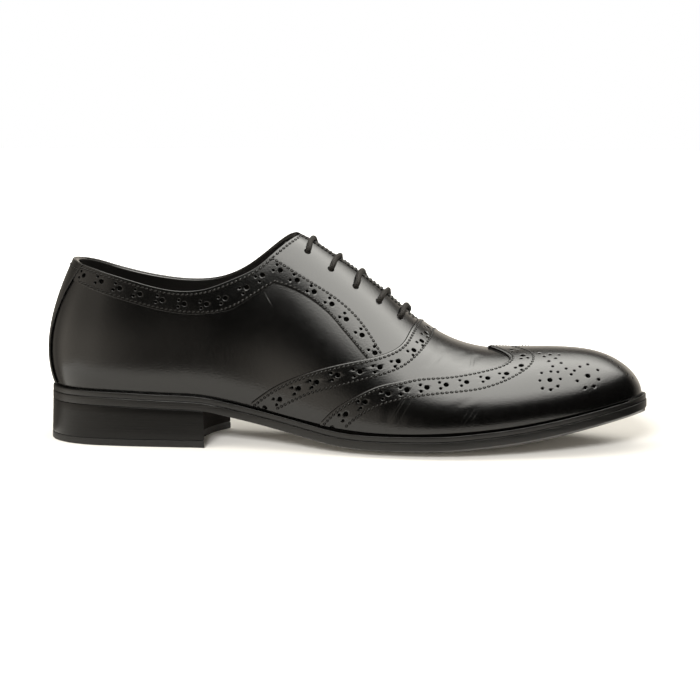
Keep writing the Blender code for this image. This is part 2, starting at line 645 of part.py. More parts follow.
def add_sole(collection):
    """Outsole, welt and insole: layers on the same underside, each a little above the last."""
    edge = make_material("sole edge", "2a2a2b", 0.45)
    inner = make_material("insole leather", "33302d", 0.6)
    along = sole_columns()
    welt_lift, insole_inset = OUTSOLE_THICK + GAP, INSOLE_INSET + ledge_width(along)
    layers = (
        ("outsole", 0.0, 0.0, OUTSOLE_THICK, edge),
        ("welt", WELT_INSET, welt_lift, WELT_THICK, edge),
        ("insole", insole_inset, welt_lift + WELT_THICK + GAP, INSOLE_THICK, inner),
    )
    for name, inset, lift, thick, material in layers:
        plan, share = sole_grid(along, inset)
        low = tread_height(plan[..., 0], share) + lift
        add_slab(name, plan, low, low + thick, material, collection)


def heel_plan():
    """Plan points of the heel, with its front drawn back into a hollow breast."""
    round_end, breast_end = along_at(HEEL_ROUND_X), along_at(HEEL_BREAST_X)
    round_part = even_spans((0.0, round_end, HEEL_ROUND_COLUMNS))
    along = np.concatenate([round_part, np.linspace(round_end, breast_end, HEEL_SIDE_COLUMNS)])
    plan, share = sole_grid(along, HEEL_INSET)
    breast = HEEL_BREAST_X - HEEL_BREAST_HOLLOW * (1 - np.array(SOLE_ACROSS) ** 2)
    past_round = np.maximum(plan[..., 0] - HEEL_ROUND_X, 0.0)
    plan[..., 0] += past_round * (breast - HEEL_BREAST_X) / (HEEL_BREAST_X - HEEL_ROUND_X)
    return plan, share


def add_heel(collection):
    """Stacked heel block and the rubber top piece that it stands on."""
    plan, share = heel_plan()
    seat = tread_height(plan[..., 0], share) - GAP
    floor = np.zeros_like(seat)
    block = floor + TOP_PIECE_THICK + GAP
    add_slab("heel_block", plan, block, seat, make_material("heel stack", "252526", 0.4), collection)
    rubber = make_material("heel rubber", "1b1b1c", 0.7)
    add_slab("heel_top_piece", plan, floor, floor + TOP_PIECE_THICK, rubber, collection)


def build():
    for leftover in list(bpy.data.objects):
        bpy.data.objects.remove(leftover)
    scene = bpy.context.scene.collection
    brogue = bpy.data.collections.new("brogue")
    cutters = bpy.data.collections.new("eyelet cutters")
    for collection in (brogue, cutters):
        scene.children.link(collection)
    calf = make_material("black calf", "17171a", 0.3)
    add_sole(brogue)
    add_heel(brogue)
    add_upper(calf, brogue, cutters)
    add_lace(brogue)


build()
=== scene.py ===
"""Looks of a black full brogue oxford, the right shoe of a pair, on a pale studio floor.

Lengths are millimetres until a mesh is made: x runs from the back of the heel to the toe, y is
negative on the outer (lateral) side of the foot, and z is the height above the floor.
"""

import math

import bmesh
import bpy
import numpy as np
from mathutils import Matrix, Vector


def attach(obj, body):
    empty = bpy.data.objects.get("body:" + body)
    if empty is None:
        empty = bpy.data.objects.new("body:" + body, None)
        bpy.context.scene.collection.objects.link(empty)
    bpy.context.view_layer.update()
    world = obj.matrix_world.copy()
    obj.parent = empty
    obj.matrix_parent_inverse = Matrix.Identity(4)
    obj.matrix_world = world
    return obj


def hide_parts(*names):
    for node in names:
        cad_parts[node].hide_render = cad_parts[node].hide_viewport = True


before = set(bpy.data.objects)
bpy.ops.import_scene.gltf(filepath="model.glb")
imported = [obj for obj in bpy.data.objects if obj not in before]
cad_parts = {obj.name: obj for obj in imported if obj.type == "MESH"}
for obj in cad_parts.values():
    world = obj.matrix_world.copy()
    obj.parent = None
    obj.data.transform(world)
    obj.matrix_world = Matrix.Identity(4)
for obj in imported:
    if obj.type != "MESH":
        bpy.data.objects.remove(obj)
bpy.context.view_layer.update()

# Insole: a thin sock of dark lining leather over the insole board, cut to the last's sole a little
# inside the upper's wall and glued down. It is the floor of the shoe that shows through the collar.
MM = 0.001
ORIGIN_X = 150.25           # x of the part's origin, half way along the shoe
LATERAL, MEDIAL = -1.0, 1.0
SIDES = (LATERAL, MEDIAL)
OUTSOLE_THICK = 4.1
WELT_THICK = 2.5
LAYER_GAP = 0.3             # space that the solids leave between layers
INSOLE_THICK = 2.6
INSOLE_INSET = 3.2          # insole's edge in from the feather edge, where upper meets welt
INSOLE_ROUND = ((0.0, -0.7), (0.25, -0.2), (0.8, 0.0))  # its top edge: inset, and height from the top
FLAT_SPOT = (166.0, 211.0)
FLAT_SHARE = 0.3
LAYER_SECTIONS = 321
TINY = 1e-4                 # step of a share where a slope is taken
NOSE = 0.997                # slopes are taken no nearer than this to the toe's tip
SHARP_ANGLE = math.radians(38)  # edges that bend by more than this stay sharp

# The last, one row for each section from the heel's back to the toe's tip: place of the section,
# half widths of the feather edge, lean of the wall above it, flat run of the top, and the ridge.
LAST_COLUMNS = (
    "x", "lat", "med", "swell_lat", "swell_med", "swell_up",
    "crown_lat", "crown_med", "crown_down", "top_x", "top_half", "ridge_y", "top_z", "ledge",
)
LAST_ROWS = (
    (3.5, 0.0, 0.0, 9.0, 9.0, 24.0, 17.0, 17.0, 31.0, 23.5, 0.0, 0.0, 110.0, 2.0),
    (9.6, 17.5, 17.5, 9.0, 9.0, 24.0, 15.8, 15.8, 31.0, 27.0, 7.5, 0.0, 110.0, 2.0),
    (22.8, 27.6, 27.6, 8.5, 8.5, 24.0, 15.0, 15.0, 31.0, 34.0, 12.5, 0.0, 110.0, 2.0),
    (37.0, 30.5, 30.5, 8.0, 8.0, 24.0, 14.0, 14.0, 31.0, 43.0, 15.0, 0.0, 110.0, 2.0),
    (62.0, 31.0, 30.0, 7.5, 7.5, 23.5, 15.0, 15.0, 32.0, 64.0, 14.5, 0.0, 112.0, 2.0),
    (87.0, 30.5, 28.0, 7.5, 7.5, 23.0, 18.0, 18.0, 28.0, 87.0, 12.0, 0.5, 114.5, 2.0),
    (115.0, 32.5, 26.0, 8.0, 9.0, 25.0, 25.0, 24.0, 6.0, 115.0, 0.0, 1.5, 109.8, 2.2),
    (145.0, 40.0, 30.5, 7.0, 9.0, 27.0, 23.0, 22.0, 0.0, 145.0, 0.0, 2.5, 93.0, 3.0),
    (172.0, 45.5, 40.0, 5.5, 7.0, 25.0, 23.0, 22.0, 0.0, 172.0, 0.0, 3.0, 74.0, 4.0),
    (197.0, 47.5, 46.0, 4.0, 5.0, 20.0, 24.0, 24.0, 0.0, 197.0, 0.0, 3.0, 55.0, 4.5),
    (222.0, 44.5, 47.0, 3.5, 4.0, 18.0, 23.0, 24.0, 0.0, 222.0, 0.0, 3.0, 46.9, 4.8),
    (245.0, 37.5, 42.8, 3.0, 3.5, 16.0, 19.5, 21.5, 0.0, 245.0, 0.0, 3.2, 46.6, 5.0),
    (265.0, 29.5, 36.0, 2.5, 2.5, 14.5, 16.0, 19.0, 0.0, 265.0, 0.0, 3.5, 46.4, 5.0),
    (281.0, 20.0, 26.8, 2.0, 2.0, 12.5, 11.5, 14.5, 0.0, 281.0, 0.0, 3.7, 43.2, 5.0),
    (291.5, 10.5, 18.0, 1.2, 1.2, 9.0, 7.0, 9.0, 0.0, 291.5, 0.0, 3.9, 36.6, 5.0),
    (297.0, -4.0, 4.0, 0.0, 0.0, 0.0, 0.0, 0.0, 0.0, 297.0, 0.0, 4.0, 25.0, 5.0),
)
# Height of the sole's underside above the floor at its edge and along its middle.
TREAD_COLUMNS = ("x", "edge", "middle")
TREAD_ROWS = (
    (0.0, 20.2, 20.2), (40.0, 19.8, 19.8), (70.0, 18.9, 18.9), (87.0, 17.9, 17.5), (98.0, 15.8, 15.0),
    (111.0, 13.2, 11.6), (125.0, 10.4, 7.8), (140.0, 7.4, 3.9), (155.0, 4.7, 1.1), (168.0, 3.8, 0.0),
    (180.0, 3.8, 0.0), (195.0, 4.1, 0.0), (210.0, 4.7, 0.0), (222.0, 5.8, 0.9), (240.0, 7.8, 3.2),
    (260.0, 11.2, 7.2), (280.0, 15.4, 12.2), (302.0, 20.2, 18.3),
)


def column(rows, names, name):
    """One named column of a table."""
    return np.array([row[names.index(name)] for row in rows], float)


def spline(knots, values, start="natural", end="natural"):
    """Cubic spline through values at knots. Each end is natural (no bend) or flat (no slope)."""
    knots, values = np.asarray(knots, float), np.asarray(values, float)
    count, step = len(knots), np.diff(knots)
    slope = np.diff(values) / step
    matrix, right = np.zeros((count, count)), np.zeros(count)
    for k in range(1, count - 1):
        matrix[k, k - 1:k + 2] = step[k - 1], 2 * (step[k - 1] + step[k]), step[k]
        right[k] = 6 * (slope[k] - slope[k - 1])
    matrix[0, 0] = matrix[-1, -1] = 1.0
    if start == "flat":
        matrix[0, :2], right[0] = (2 * step[0], step[0]), 6 * slope[0]
    if end == "flat":
        matrix[-1, -2:], right[-1] = (step[-1], 2 * step[-1]), -6 * slope[-1]
    bend = np.linalg.solve(matrix, right)

    def value(q):
        q = np.asarray(q, float)
        k = np.clip(np.searchsorted(knots, q) - 1, 0, count - 2)
        a, b = knots[k + 1] - q, q - knots[k]
        return (
            (bend[k] * a ** 3 + bend[k + 1] * b ** 3) / (6 * step[k])
            + (values[k] / step[k] - bend[k] * step[k] / 6) * a
            + (values[k + 1] / step[k] - bend[k + 1] * step[k] / 6) * b
        )

    return value


def monotone(knots, values):
    """Cubic curve through values at knots that never overshoots them, so that it can end at 0."""
    knots, values = np.asarray(knots, float), np.asarray(values, float)
    step, slope = np.diff(knots), np.diff(values) / np.diff(knots)
    tangent = np.concatenate([slope[:1], np.zeros(len(knots) - 2), slope[-1:]])
    for k in range(1, len(slope)):
        if slope[k - 1] * slope[k] > 0:
            tangent[k] = 2 / (1 / slope[k - 1] + 1 / slope[k])

    def value(q):
        k = np.clip(np.searchsorted(knots, q) - 1, 0, len(step) - 1)
        share = (q - knots[k]) / step[k]
        rest = 1 - share
        return (
            values[k] * rest ** 2 * (1 + 2 * share) + values[k + 1] * share ** 2 * (1 + 2 * rest)
            + step[k] * share * rest * (tangent[k] * rest - tangent[k + 1] * share)
        )

    return value


def table_spline(rows, names, key, name):
    """Spline of one column of a table over another."""
    return spline(column(rows, names, key), column(rows, names, name))


def last_column(name):
    return column(LAST_ROWS, LAST_COLUMNS, name)


def run_along(points, power=1.0):
    """Distance from the start of a line to each of its points, with each step raised to a power."""
    step = np.linalg.norm(np.diff(points, axis=0), axis=1)
    return np.concatenate([[0.0], np.cumsum(step ** power)])


def unit(vectors):
    """Vectors divided by their own lengths."""
    return vectors / np.linalg.norm(vectors, axis=-1, keepdims=True)


def section_knots():
    """Distance of each section from the heel's back, measured along the feather edge, as a share."""
    run = run_along(np.column_stack([last_column("x"), (last_column("lat") + last_column("med")) / 2]))
    return run / run[-1]


KNOTS = section_knots()
ledge_width = spline(KNOTS, last_column("ledge"))
tread_edge = table_spline(TREAD_ROWS, TREAD_COLUMNS, "x", "edge")
tread_rise = table_spline(TREAD_ROWS, TREAD_COLUMNS, "x", "middle")


def feather_height(x):
    """Height of the upper's lower edge, just above the welt."""
    return tread_edge(x) + OUTSOLE_THICK + WELT_THICK + 2 * LAYER_GAP


def control_splines(side):
    """Splines along the shoe of the four points that shape each section on one side."""
    name = "lat" if side == LATERAL else "med"
    x, out, top_x = last_column("x"), last_column(name), last_column("top_x")
    top_out = last_column("top_half") + side * last_column("ridge_y")
    run = np.stack([x - top_x, out - top_out], 1)
    length = np.linalg.norm(run, axis=1, keepdims=True)
    away = np.where(length > 1e-6, run / np.maximum(length, 1e-6), [0.0, 1.0])
    foot_z, top_z = feather_height(x), last_column("top_z")
    top_z[-1] = foot_z[-1]
    swell_x, swell_out = (away * last_column("swell_" + name)[:, None]).T
    crown_x, crown_out = (away * last_column("crown_" + name)[:, None]).T
    half, ridge = monotone(KNOTS, last_column("top_half")), spline(KNOTS, last_column("ridge_y"))
    points = (
        (x, spline(KNOTS, out), foot_z),
        (x + swell_x, spline(KNOTS, out + swell_out), foot_z + last_column("swell_up")),
        (top_x + crown_x, spline(KNOTS, top_out + crown_out), top_z - last_column("crown_down")),
        (top_x, lambda along: half(along) + side * ridge(along), top_z),
    )
    return [
        (spline(KNOTS, px, "flat", "flat"), out_at, spline(KNOTS, pz, "flat", "natural"))
        for px, out_at, pz in points
    ]


CONTROLS = {side: control_splines(side) for side in SIDES}


def last_surface(side, along, up):
    """Points of the upper's outer face: along is 0 at the heel's back and 1 at the toe's tip,
    up is 0 at the feather edge and 1 on the ridge. Each section is one Bezier curve."""
    along, up = np.broadcast_arrays(np.asarray(along, float), np.asarray(up, float))
    weights = ((1 - up) ** 3, 3 * (1 - up) ** 2 * up, 3 * (1 - up) * up ** 2, up ** 3)
    points = np.zeros(along.shape + (3,))
    for weight, (x_at, out_at, z_at) in zip(weights, CONTROLS[side]):
        points[..., 0] += weight * x_at(along)
        points[..., 1] += weight * out_at(along) * side
        points[..., 2] += weight * z_at(along)
    return points


def sole_edge(side, along, inset):
    """Plan of the sole's edge on one side: the feather edge moved out by the ledge, less an inset."""
    behind, ahead = np.maximum(along - TINY, 0), np.minimum(along + TINY, 1)
    run = last_surface(side, ahead, 0) - last_surface(side, behind, 0)
    between_ends = (along > TINY) & (along < 1 - TINY)
    outward = unit(np.stack([-run[:, 1], run[:, 0] * between_ends], 1) * side)
    return last_surface(side, along, 0)[:, :2] + outward * (ledge_width(along) - inset)[:, None]


def tread_height(x, share):
    """Height of the sole's underside: the middle's height, rising in a curve to the edge's."""
    on_floor = (x >= FLAT_SPOT[0]) & (x <= FLAT_SPOT[1])
    middle = np.where(on_floor, 0.0, np.maximum(tread_rise(x), 0.0))
    crown = (np.maximum(share - FLAT_SHARE, 0.0) / (1 - FLAT_SHARE)) ** 2
    return middle + (tread_edge(x) - middle) * crown


def sole_layer(along, profile, steps):
    """A loop of points round a sole layer at each section: up the outer edge by the profile's rows of
    inset and lift, across the top, down the inner edge and back across the underside."""
    whole = np.linalg.norm(sole_edge(MEDIAL, along, 0.0) - sole_edge(LATERAL, along, 0.0), axis=1)

    def row(inset, share, lift):
        lateral, medial = (sole_edge(side, along, inset) for side in SIDES)
        plan = lateral + (medial - lateral) * (share + 1) / 2
        ratio = np.linalg.norm(medial - lateral, axis=1) / np.maximum(whole, 1e-6)
        ratio = np.where(whole > 1e-3, np.abs(share) * ratio, 1.0)
        return np.column_stack([plan, tread_height(plan[:, 0], ratio) + lift])

    across = np.linspace(-1, 1, steps + 1)[1:-1]
    loop = [row(inset, LATERAL, lift) for inset, lift in profile]
    loop += [row(profile[-1][0], share, profile[-1][1]) for share in across]
    loop += [row(inset, MEDIAL, lift) for inset, lift in reversed(profile)]
    loop += [row(profile[0][0], share, profile[0][1]) for share in across[::-1]]
    return np.stack(loop, 1)


def grid_quads(rows, columns, closed=False):
    """Corner numbers of the quads between neighbours in a grid, closed round its columns if asked."""
    index = np.arange(rows * columns).reshape(rows, columns)
    if closed:
        index = np.column_stack([index, index[:, 0]])
    return np.stack([index[:-1, :-1], index[1:, :-1], index[1:, 1:], index[:-1, 1:]], -1).reshape(-1, 4)


def to_frame(points):
    """Points of the shoe in metres, in the part's own frame."""
    return (np.asarray(points, float) - (ORIGIN_X, 0, 0)) * MM


def add_piece(name, points, faces, material, outward=False):
    """A mesh object from points and faces. Doubles merge, which closes seams and poles."""
    shape = bmesh.new()
    mesh = bpy.data.meshes.new(name)
    mesh.from_pydata(to_frame(points).reshape(-1, 3).tolist(), [], [list(face) for face in faces])
    shape.from_mesh(mesh)
    bmesh.ops.remove_doubles(shape, verts=shape.verts, dist=1e-6)
    bmesh.ops.dissolve_degenerate(shape, edges=shape.edges, dist=1e-7)
    if outward:
        bmesh.ops.recalc_face_normals(shape, faces=shape.faces)
    shape.to_mesh(mesh)
    shape.free()
    mesh.materials.append(material)
    mesh.shade_smooth()
    mesh.set_sharp_from_angle(angle=SHARP_ANGLE)
    piece = bpy.data.objects.new(name, mesh)
    bpy.context.scene.collection.objects.link(piece)
    return piece


def add_layer(name, profile, steps, material):
    """One sole layer as a closed piece: its loops at even shares along the shoe, joined in order."""
    loops = sole_layer(np.linspace(0, 1, LAYER_SECTIONS), profile, steps)
    return add_piece(name, loops, grid_quads(*loops.shape[:2], closed=True), material, outward=True)


def linear(hex_colour):
    """Linear RGBA of an sRGB colour written as six hexadecimal digits."""
    channels = [int(hex_colour[k:k + 2], 16) / 255 for k in (0, 2, 4)]
    return [c / 12.92 if c <= 0.04045 else ((c + 0.055) / 1.055) ** 2.4 for c in channels] + [1.0]


def add_node(tree, kind, inputs=(), **settings):
    """Adds a node with its settings. Each input is a value, or another node's output to link."""
    made = tree.nodes.new(kind)
    for name, value in settings.items():
        setattr(made, name, value)
    for socket, value in dict(inputs).items():
        if isinstance(value, bpy.types.NodeSocket):
            tree.links.new(value, made.inputs[socket])
        else:
            made.inputs[socket].default_value = value
    return made


def start_material(name, **finish):
    """A new material with its shader's plain values, and the coordinates of the piece in metres."""
    material = bpy.data.materials.new(name)
    material.use_nodes = True
    tree = material.node_tree
    shader = tree.nodes["Principled BSDF"]
    for socket, value in finish.items():
        shader.inputs[socket.replace("_", " ").title().replace("Ior", "IOR")].default_value = value
    place = add_node(tree, "ShaderNodeTexCoord").outputs["Object"]
    return material, tree, shader, place


def per_mm(size):
    """Scale of a pattern whose features are this many millimetres wide, on coordinates in metres."""
    return 1 / (size * MM)


def dye_and_press(tree, shader, tone, dark, light, strength, depth, span=(0.0, 1.0), relief=None):
    """Dyes a material from dark to light over a span of a pattern's value, and presses that pattern, or
    another one for the relief, into its surface to a depth in millimetres."""
    dye = add_node(tree, "ShaderNodeValToRGB", {"Fac": tone})
    for stop, position, colour in zip(dye.color_ramp.elements, span, (dark, light)):
        stop.position, stop.color = position, linear(colour)
    tree.links.new(dye.outputs["Color"], shader.inputs["Base Color"])
    bump = add_node(
        tree, "ShaderNodeBump",
        {"Height": tone if relief is None else relief, "Strength": strength, "Distance": depth * MM},
    )
    tree.links.new(bump.outputs["Normal"], shader.inputs["Normal"])


# Vegetable-tanned lining leather, dyed black and rubbed smooth: dull, with a soft fine nap.
lining, tree, shader, place = start_material("lining leather", roughness=0.62, ior=1.45)
nap = add_node(tree, "ShaderNodeTexNoise", {"Vector": place, "Scale": per_mm(0.9), "Detail": 4.0})
tone = add_node(tree, "ShaderNodeTexNoise", {"Vector": place, "Scale": per_mm(16.0), "Detail": 3.0})
dye_and_press(
    tree, shader, tone.outputs["Fac"], "191817", "262422", strength=0.5, depth=0.06,
    relief=nap.outputs["Fac"],
)

sole_along = np.linspace(0, 1, LAYER_SECTIONS)
insole_inset = INSOLE_INSET + ledge_width(sole_along)
insole_foot = OUTSOLE_THICK + WELT_THICK + 2 * LAYER_GAP
insole_top = insole_foot + INSOLE_THICK
insole_profile = [(insole_inset, insole_foot)]
insole_profile += [(insole_inset + inset, insole_top + lift) for inset, lift in INSOLE_ROUND]
insole = add_layer("insole_sock", insole_profile, 28, lining)
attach(insole, "root")
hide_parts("insole")

# Upper: quarters of black box calf over a leather lining, lasted and pulled down to the welt. The two
# sides meet at the heel's back and ahead of the throat, and ten eyelets are punched near the slit.
WALL = 2.0
FACING_GAP_TOP, FACING_GAP_LOW = 2.6, 1.6
FACING_TOP_X = 122.0
THROAT_X = 193.0
CORNER_SPAN = (100.0, 150.0)
CORNER_ROUND = {LATERAL: 0.07, MEDIAL: 0.16}  # share up over which collar and facing run together
HEEL_FAN_X = 37.0
EYELET_RADIUS = 1.8
EYELET_PROFILE = ((-4.0, 0.0), (4.0, 0.0))  # the punch's reach below and above the quarter
EYELET_SIDES = 20
PUNCH_ASIDE = (0.3, 0.9, 0.2)  # a direction that no punch stands along
CORNER_X = (108.0, 132.0)   # sections are closer together here, round the collar's front corner
UPPER_EDGE = 0.55           # rounding of the upper's edges
RIM_ANGLE = math.radians(60)  # edges that bend by more than this are rounded
SEARCH_STEPS, EDGE_STEPS = 4001, 801  # steps of the lists in which places and edges are looked up
FACING_FOOT = 0.3           # share up below which no facing lies
COLLAR_COLUMNS = ("x", "lateral", "medial")
COLLAR_ROWS = (
    (0.0, 94.5, 94.5), (13.0, 91.0, 91.0), (30.0, 86.5, 84.8), (50.0, 81.2, 80.0), (70.0, 77.1, 78.2),
    (87.0, 78.2, 80.8), (100.0, 83.0, 87.4), (112.0, 89.3, 96.2), (122.0, 98.2, 102.8),
    (132.0, 105.8, 107.2),
)
COLLAR_PARTS = (15.0, 29.0)  # between these the two sides' heights part
# Pairs of eyelets from the collar down: distance from the slit's middle, and how far the bar bows.
EYELET_ROWS = (
    (134.0, 11.8, 0.0), (146.0, 13.6, 1.4), (158.5, 14.6, 0.0), (170.0, 14.0, 1.6), (180.5, 13.4, 0.0),
)
collar_lateral = table_spline(COLLAR_ROWS, COLLAR_COLUMNS, "x", "lateral")
collar_medial = table_spline(COLLAR_ROWS, COLLAR_COLUMNS, "x", "medial")


def side_normal(side, along, up):
    """Outward normals of one side's own surface: the cross product of its two slopes."""
    along, up = np.broadcast_arrays(np.asarray(along, float), np.asarray(up, float))
    along = np.minimum(along, NOSE)
    low, high = np.maximum(along - TINY, 0), along + TINY
    under, over = np.maximum(up - TINY, 0), np.minimum(up + TINY, 1)
    forward = last_surface(side, high, up) - last_surface(side, low, up)
    upward = last_surface(side, along, over) - last_surface(side, along, under)
    normal = np.cross(forward, upward) * -side
    normal[..., 1] *= along > TINY
    return unit(normal)


def last_normal(side, along, up):
    """Outward normals, the mean of both sides' on the ridge, where they meet."""
    normal = side_normal(side, along, up)
    ridge = unit(side_normal(side, along, 1.0) + side_normal(-side, along, 1.0))
    on_ridge = np.broadcast_to(np.asarray(up) > 1 - 1e-6, normal.shape[:-1])
    return np.where(on_ridge[..., None], ridge, normal)


def raised(side, along, up, rise):
    """Points a given height outside the upper's outer face, or inside it where rise is negative."""
    return last_surface(side, along, up) + last_normal(side, along, up) * np.asarray(rise)[..., None]


def along_at(x):
    """Share along the shoe of the section at x, from the heel's sides forward."""
    dense = np.linspace(0, 1, SEARCH_STEPS)
    return np.interp(x, CONTROLS[LATERAL][0][0](dense), dense)


def ridge_distance(side, along, up):
    """Distance of a point from the middle of the slit, sideways."""
    return (last_surface(side, along, up) - last_surface(side, along, 1.0))[..., 1] * side


def up_at(side, along, from_ridge):
    """Share of the way up where a section is this far from the middle of the slit."""
    dense = np.linspace(1, FACING_FOOT, SEARCH_STEPS)
    return np.interp(from_ridge, ridge_distance(side, along, dense), dense)


def collar_height(side, x):
    """Height of the collar's edge: both sides' mean at the heel's back, then each side's own."""
    apart = np.clip((x - COLLAR_PARTS[0]) / (COLLAR_PARTS[1] - COLLAR_PARTS[0]), 0, 1)
    mean = (collar_medial(x) + collar_lateral(x)) / 2
    lean = (collar_medial(x) - collar_lateral(x)) / 2
    return mean + side * lean * apart * apart * (3 - 2 * apart)


def first_reach(up, short):
    """Share of the way up where each row of shortfalls first comes down to 0, or 1 where none does."""
    hit = short <= 0
    k = np.maximum(hit.argmax(1), 1)
    line = np.arange(len(short))
    before, after = short[line, k - 1], short[line, k]
    share = np.clip(before / np.where(before == after, 1.0, before - after), 0, 1)
    return np.where(hit.any(1), up[k - 1] + share * (up[k] - up[k - 1]), 1.0)


def top_share(side, along):
    """How far up the upper goes: to the collar's edge or the facing's, whichever is lower, with their
    corner rounded by a smooth minimum. Past the throat it goes up to the ridge."""
    up = np.linspace(0, 1, EDGE_STEPS)
    grid = last_surface(side, along[:, None], up)
    x = grid[..., 0]
    gap = np.interp(x, (FACING_TOP_X, THROAT_X), (FACING_GAP_TOP, FACING_GAP_LOW)) / 2
    away = ridge_distance(side, along[:, None], up)
    collar = first_reach(up, np.where(x < CORNER_SPAN[1], collar_height(side, x) - grid[..., 2], 1.0))
    facing = first_reach(up, np.where(x > CORNER_SPAN[0], away - gap, 1.0))
    mix = np.clip(0.5 + 0.5 * (facing - collar) / CORNER_ROUND[side], 0, 1)
    lower = facing + (collar - facing) * mix - CORNER_ROUND[side] * mix * (1 - mix)
    near_corner = (x[:, 0] > CORNER_SPAN[0]) & (x[:, 0] < CORNER_SPAN[1])
    top = np.where(near_corner, lower, np.minimum(collar, facing))
    return np.where(along >= along_at(THROAT_X) - 1e-9, 1.0, top)


def even_spans(*spans):
    """Sections evenly spaced in each span of start, end and count, without the span's end."""
    return np.concatenate([np.linspace(*span, endpoint=False) for span in spans])


def join_sheets(sheets):
    """Points and faces of one sheet for each side. The inner side's faces are turned to point out."""
    points, faces, start = [], [], 0
    for side, sheet in sheets:
        quads = grid_quads(*sheet.shape[:2]) + start
        faces.append(quads[:, ::-1] if side == MEDIAL else quads)
        points.append(sheet.reshape(-1, 3))
        start += len(points[-1])
    return np.concatenate(points), np.concatenate(faces)


def thicken(piece, thickness, edge):
    """Gives a sheet its thickness inwards and rounds its cut edges."""
    wall = piece.modifiers.new("thickness", "SOLIDIFY")
    wall.thickness = thickness * MM
    wall.offset = -1.0
    wall.use_even_offset = True
    rim = piece.modifiers.new("rounded edge", "BEVEL")
    rim.width = edge * MM
    rim.segments = 3
    rim.limit_method = "ANGLE"
    rim.angle_limit = RIM_ANGLE
    return wall


def punch(piece, cutter):
    """Cuts every punch of the cutter out of a piece. The cut walls take the cutter's materials."""
    cut = piece.modifiers.new("punched", "BOOLEAN")
    cut.operation = "DIFFERENCE"
    cut.solver = "MANIFOLD"
    cut.material_mode = "TRANSFER"
    cut.object = cutter


def settle(piece):
    """Replaces a piece's modifiers by their result, smooth but for its cut edges."""
    graph = bpy.context.evaluated_depsgraph_get()
    mesh = bpy.data.meshes.new_from_object(piece.evaluated_get(graph))
    piece.modifiers.clear()
    piece.data = mesh
    mesh.shade_smooth()
    mesh.set_sharp_from_angle(angle=SHARP_ANGLE)


def punches(name, places, normals, radius, profile, sides=14):
    """One mesh of round punches, each standing on a place along its normal: a circle carried up the
    profile's rows of height and growth. The first stretch cuts raw leather, the rest presses the rim."""
    places, normals = np.asarray(places), np.asarray(normals)
    height, growth = np.array(profile).T
    radius = np.broadcast_to(radius, len(places))[:, None] + growth
    first = unit(np.cross(normals, PUNCH_ASIDE))
    second = np.cross(normals, first)
    turn = np.linspace(0, 2 * np.pi, sides, endpoint=False)
    ring = first[:, None] * np.cos(turn)[:, None] + second[:, None] * np.sin(turn)[:, None]
    core = places[:, None] + normals[:, None] * height[:, None]
    points = core[:, :, None] + ring[:, None] * radius[:, :, None, None]
    start = np.arange(len(places))[:, None] * len(height) * sides
    k = np.arange(sides)
    quads = grid_quads(len(height), sides, closed=True)[:, ::-1]
    low, high = quads[:sides], quads[sides:]
    raw = (start[:, :, None] + low).reshape(-1, 4).tolist() + (start + k[::-1]).tolist()
    pressed = (start[:, :, None] + high).reshape(-1, 4).tolist()
    pressed += (start + (len(height) - 1) * sides + k).tolist()
    piece = add_piece(name, points, raw + pressed, raw_leather_and_shade)
    piece.data.materials.append(calf)
    piece.data.polygons.foreach_set("material_index", np.repeat((0, 1), (len(raw), len(pressed))))
    return piece


def eyelet_frames(side):
    """Each eyelet's place on the facing with its outward normal, and the directions to slit and toe."""
    frames = []
    for x, from_ridge, _ in EYELET_ROWS:
        along = along_at(x)
        up = up_at(side, along, from_ridge)
        spot, normal = last_surface(side, along, up), last_normal(side, along, up)
        to_toe = unit(last_surface(side, along + TINY, up) - spot)
        frames.append((spot, normal, np.cross(to_toe, normal) * side, to_toe))
    return frames


# Black box calf, aniline-dyed, plated and polished with wax: a deep black with a clear gloss over a
# fine pebbled grain. The grain is drawn about twice as coarse as real so that it shows.
calf, tree, shader, place = start_material(
    "polished box calf", roughness=0.22, ior=1.5, coat_weight=0.15, coat_roughness=0.15,
)
pebble = add_node(
    tree, "ShaderNodeTexVoronoi", {"Vector": place, "Scale": per_mm(0.75)}, feature="SMOOTH_F1",
)
swell = add_node(tree, "ShaderNodeTexNoise", {"Vector": place, "Scale": per_mm(17.0), "Detail": 2.0})
haze = add_node(tree, "ShaderNodeTexNoise", {"Vector": place, "Scale": per_mm(5.0), "Detail": 5.0})
rub = add_node(
    tree, "ShaderNodeMapRange",
    {"Value": haze.outputs["Fac"], "From Min": 0.3, "From Max": 0.7, "To Min": 0.195, "To Max": 0.245},
)
tree.links.new(rub.outputs["Result"], shader.inputs["Roughness"])
dye = add_node(tree, "ShaderNodeValToRGB", {"Fac": haze.outputs["Fac"]})
dye.color_ramp.elements[0].color = linear("030303")
dye.color_ramp.elements[1].color = linear("050505")
tree.links.new(dye.outputs["Color"], shader.inputs["Base Color"])
wave = add_node(
    tree, "ShaderNodeBump", {"Height": swell.outputs["Fac"], "Strength": 1.0, "Distance": 0.05 * MM},
)
grain = add_node(
    tree, "ShaderNodeBump",
    {
        "Height": pebble.outputs["Distance"], "Strength": 0.8, "Distance": 0.055 * MM,
        "Normal": wave.outputs["Normal"],
    },
)
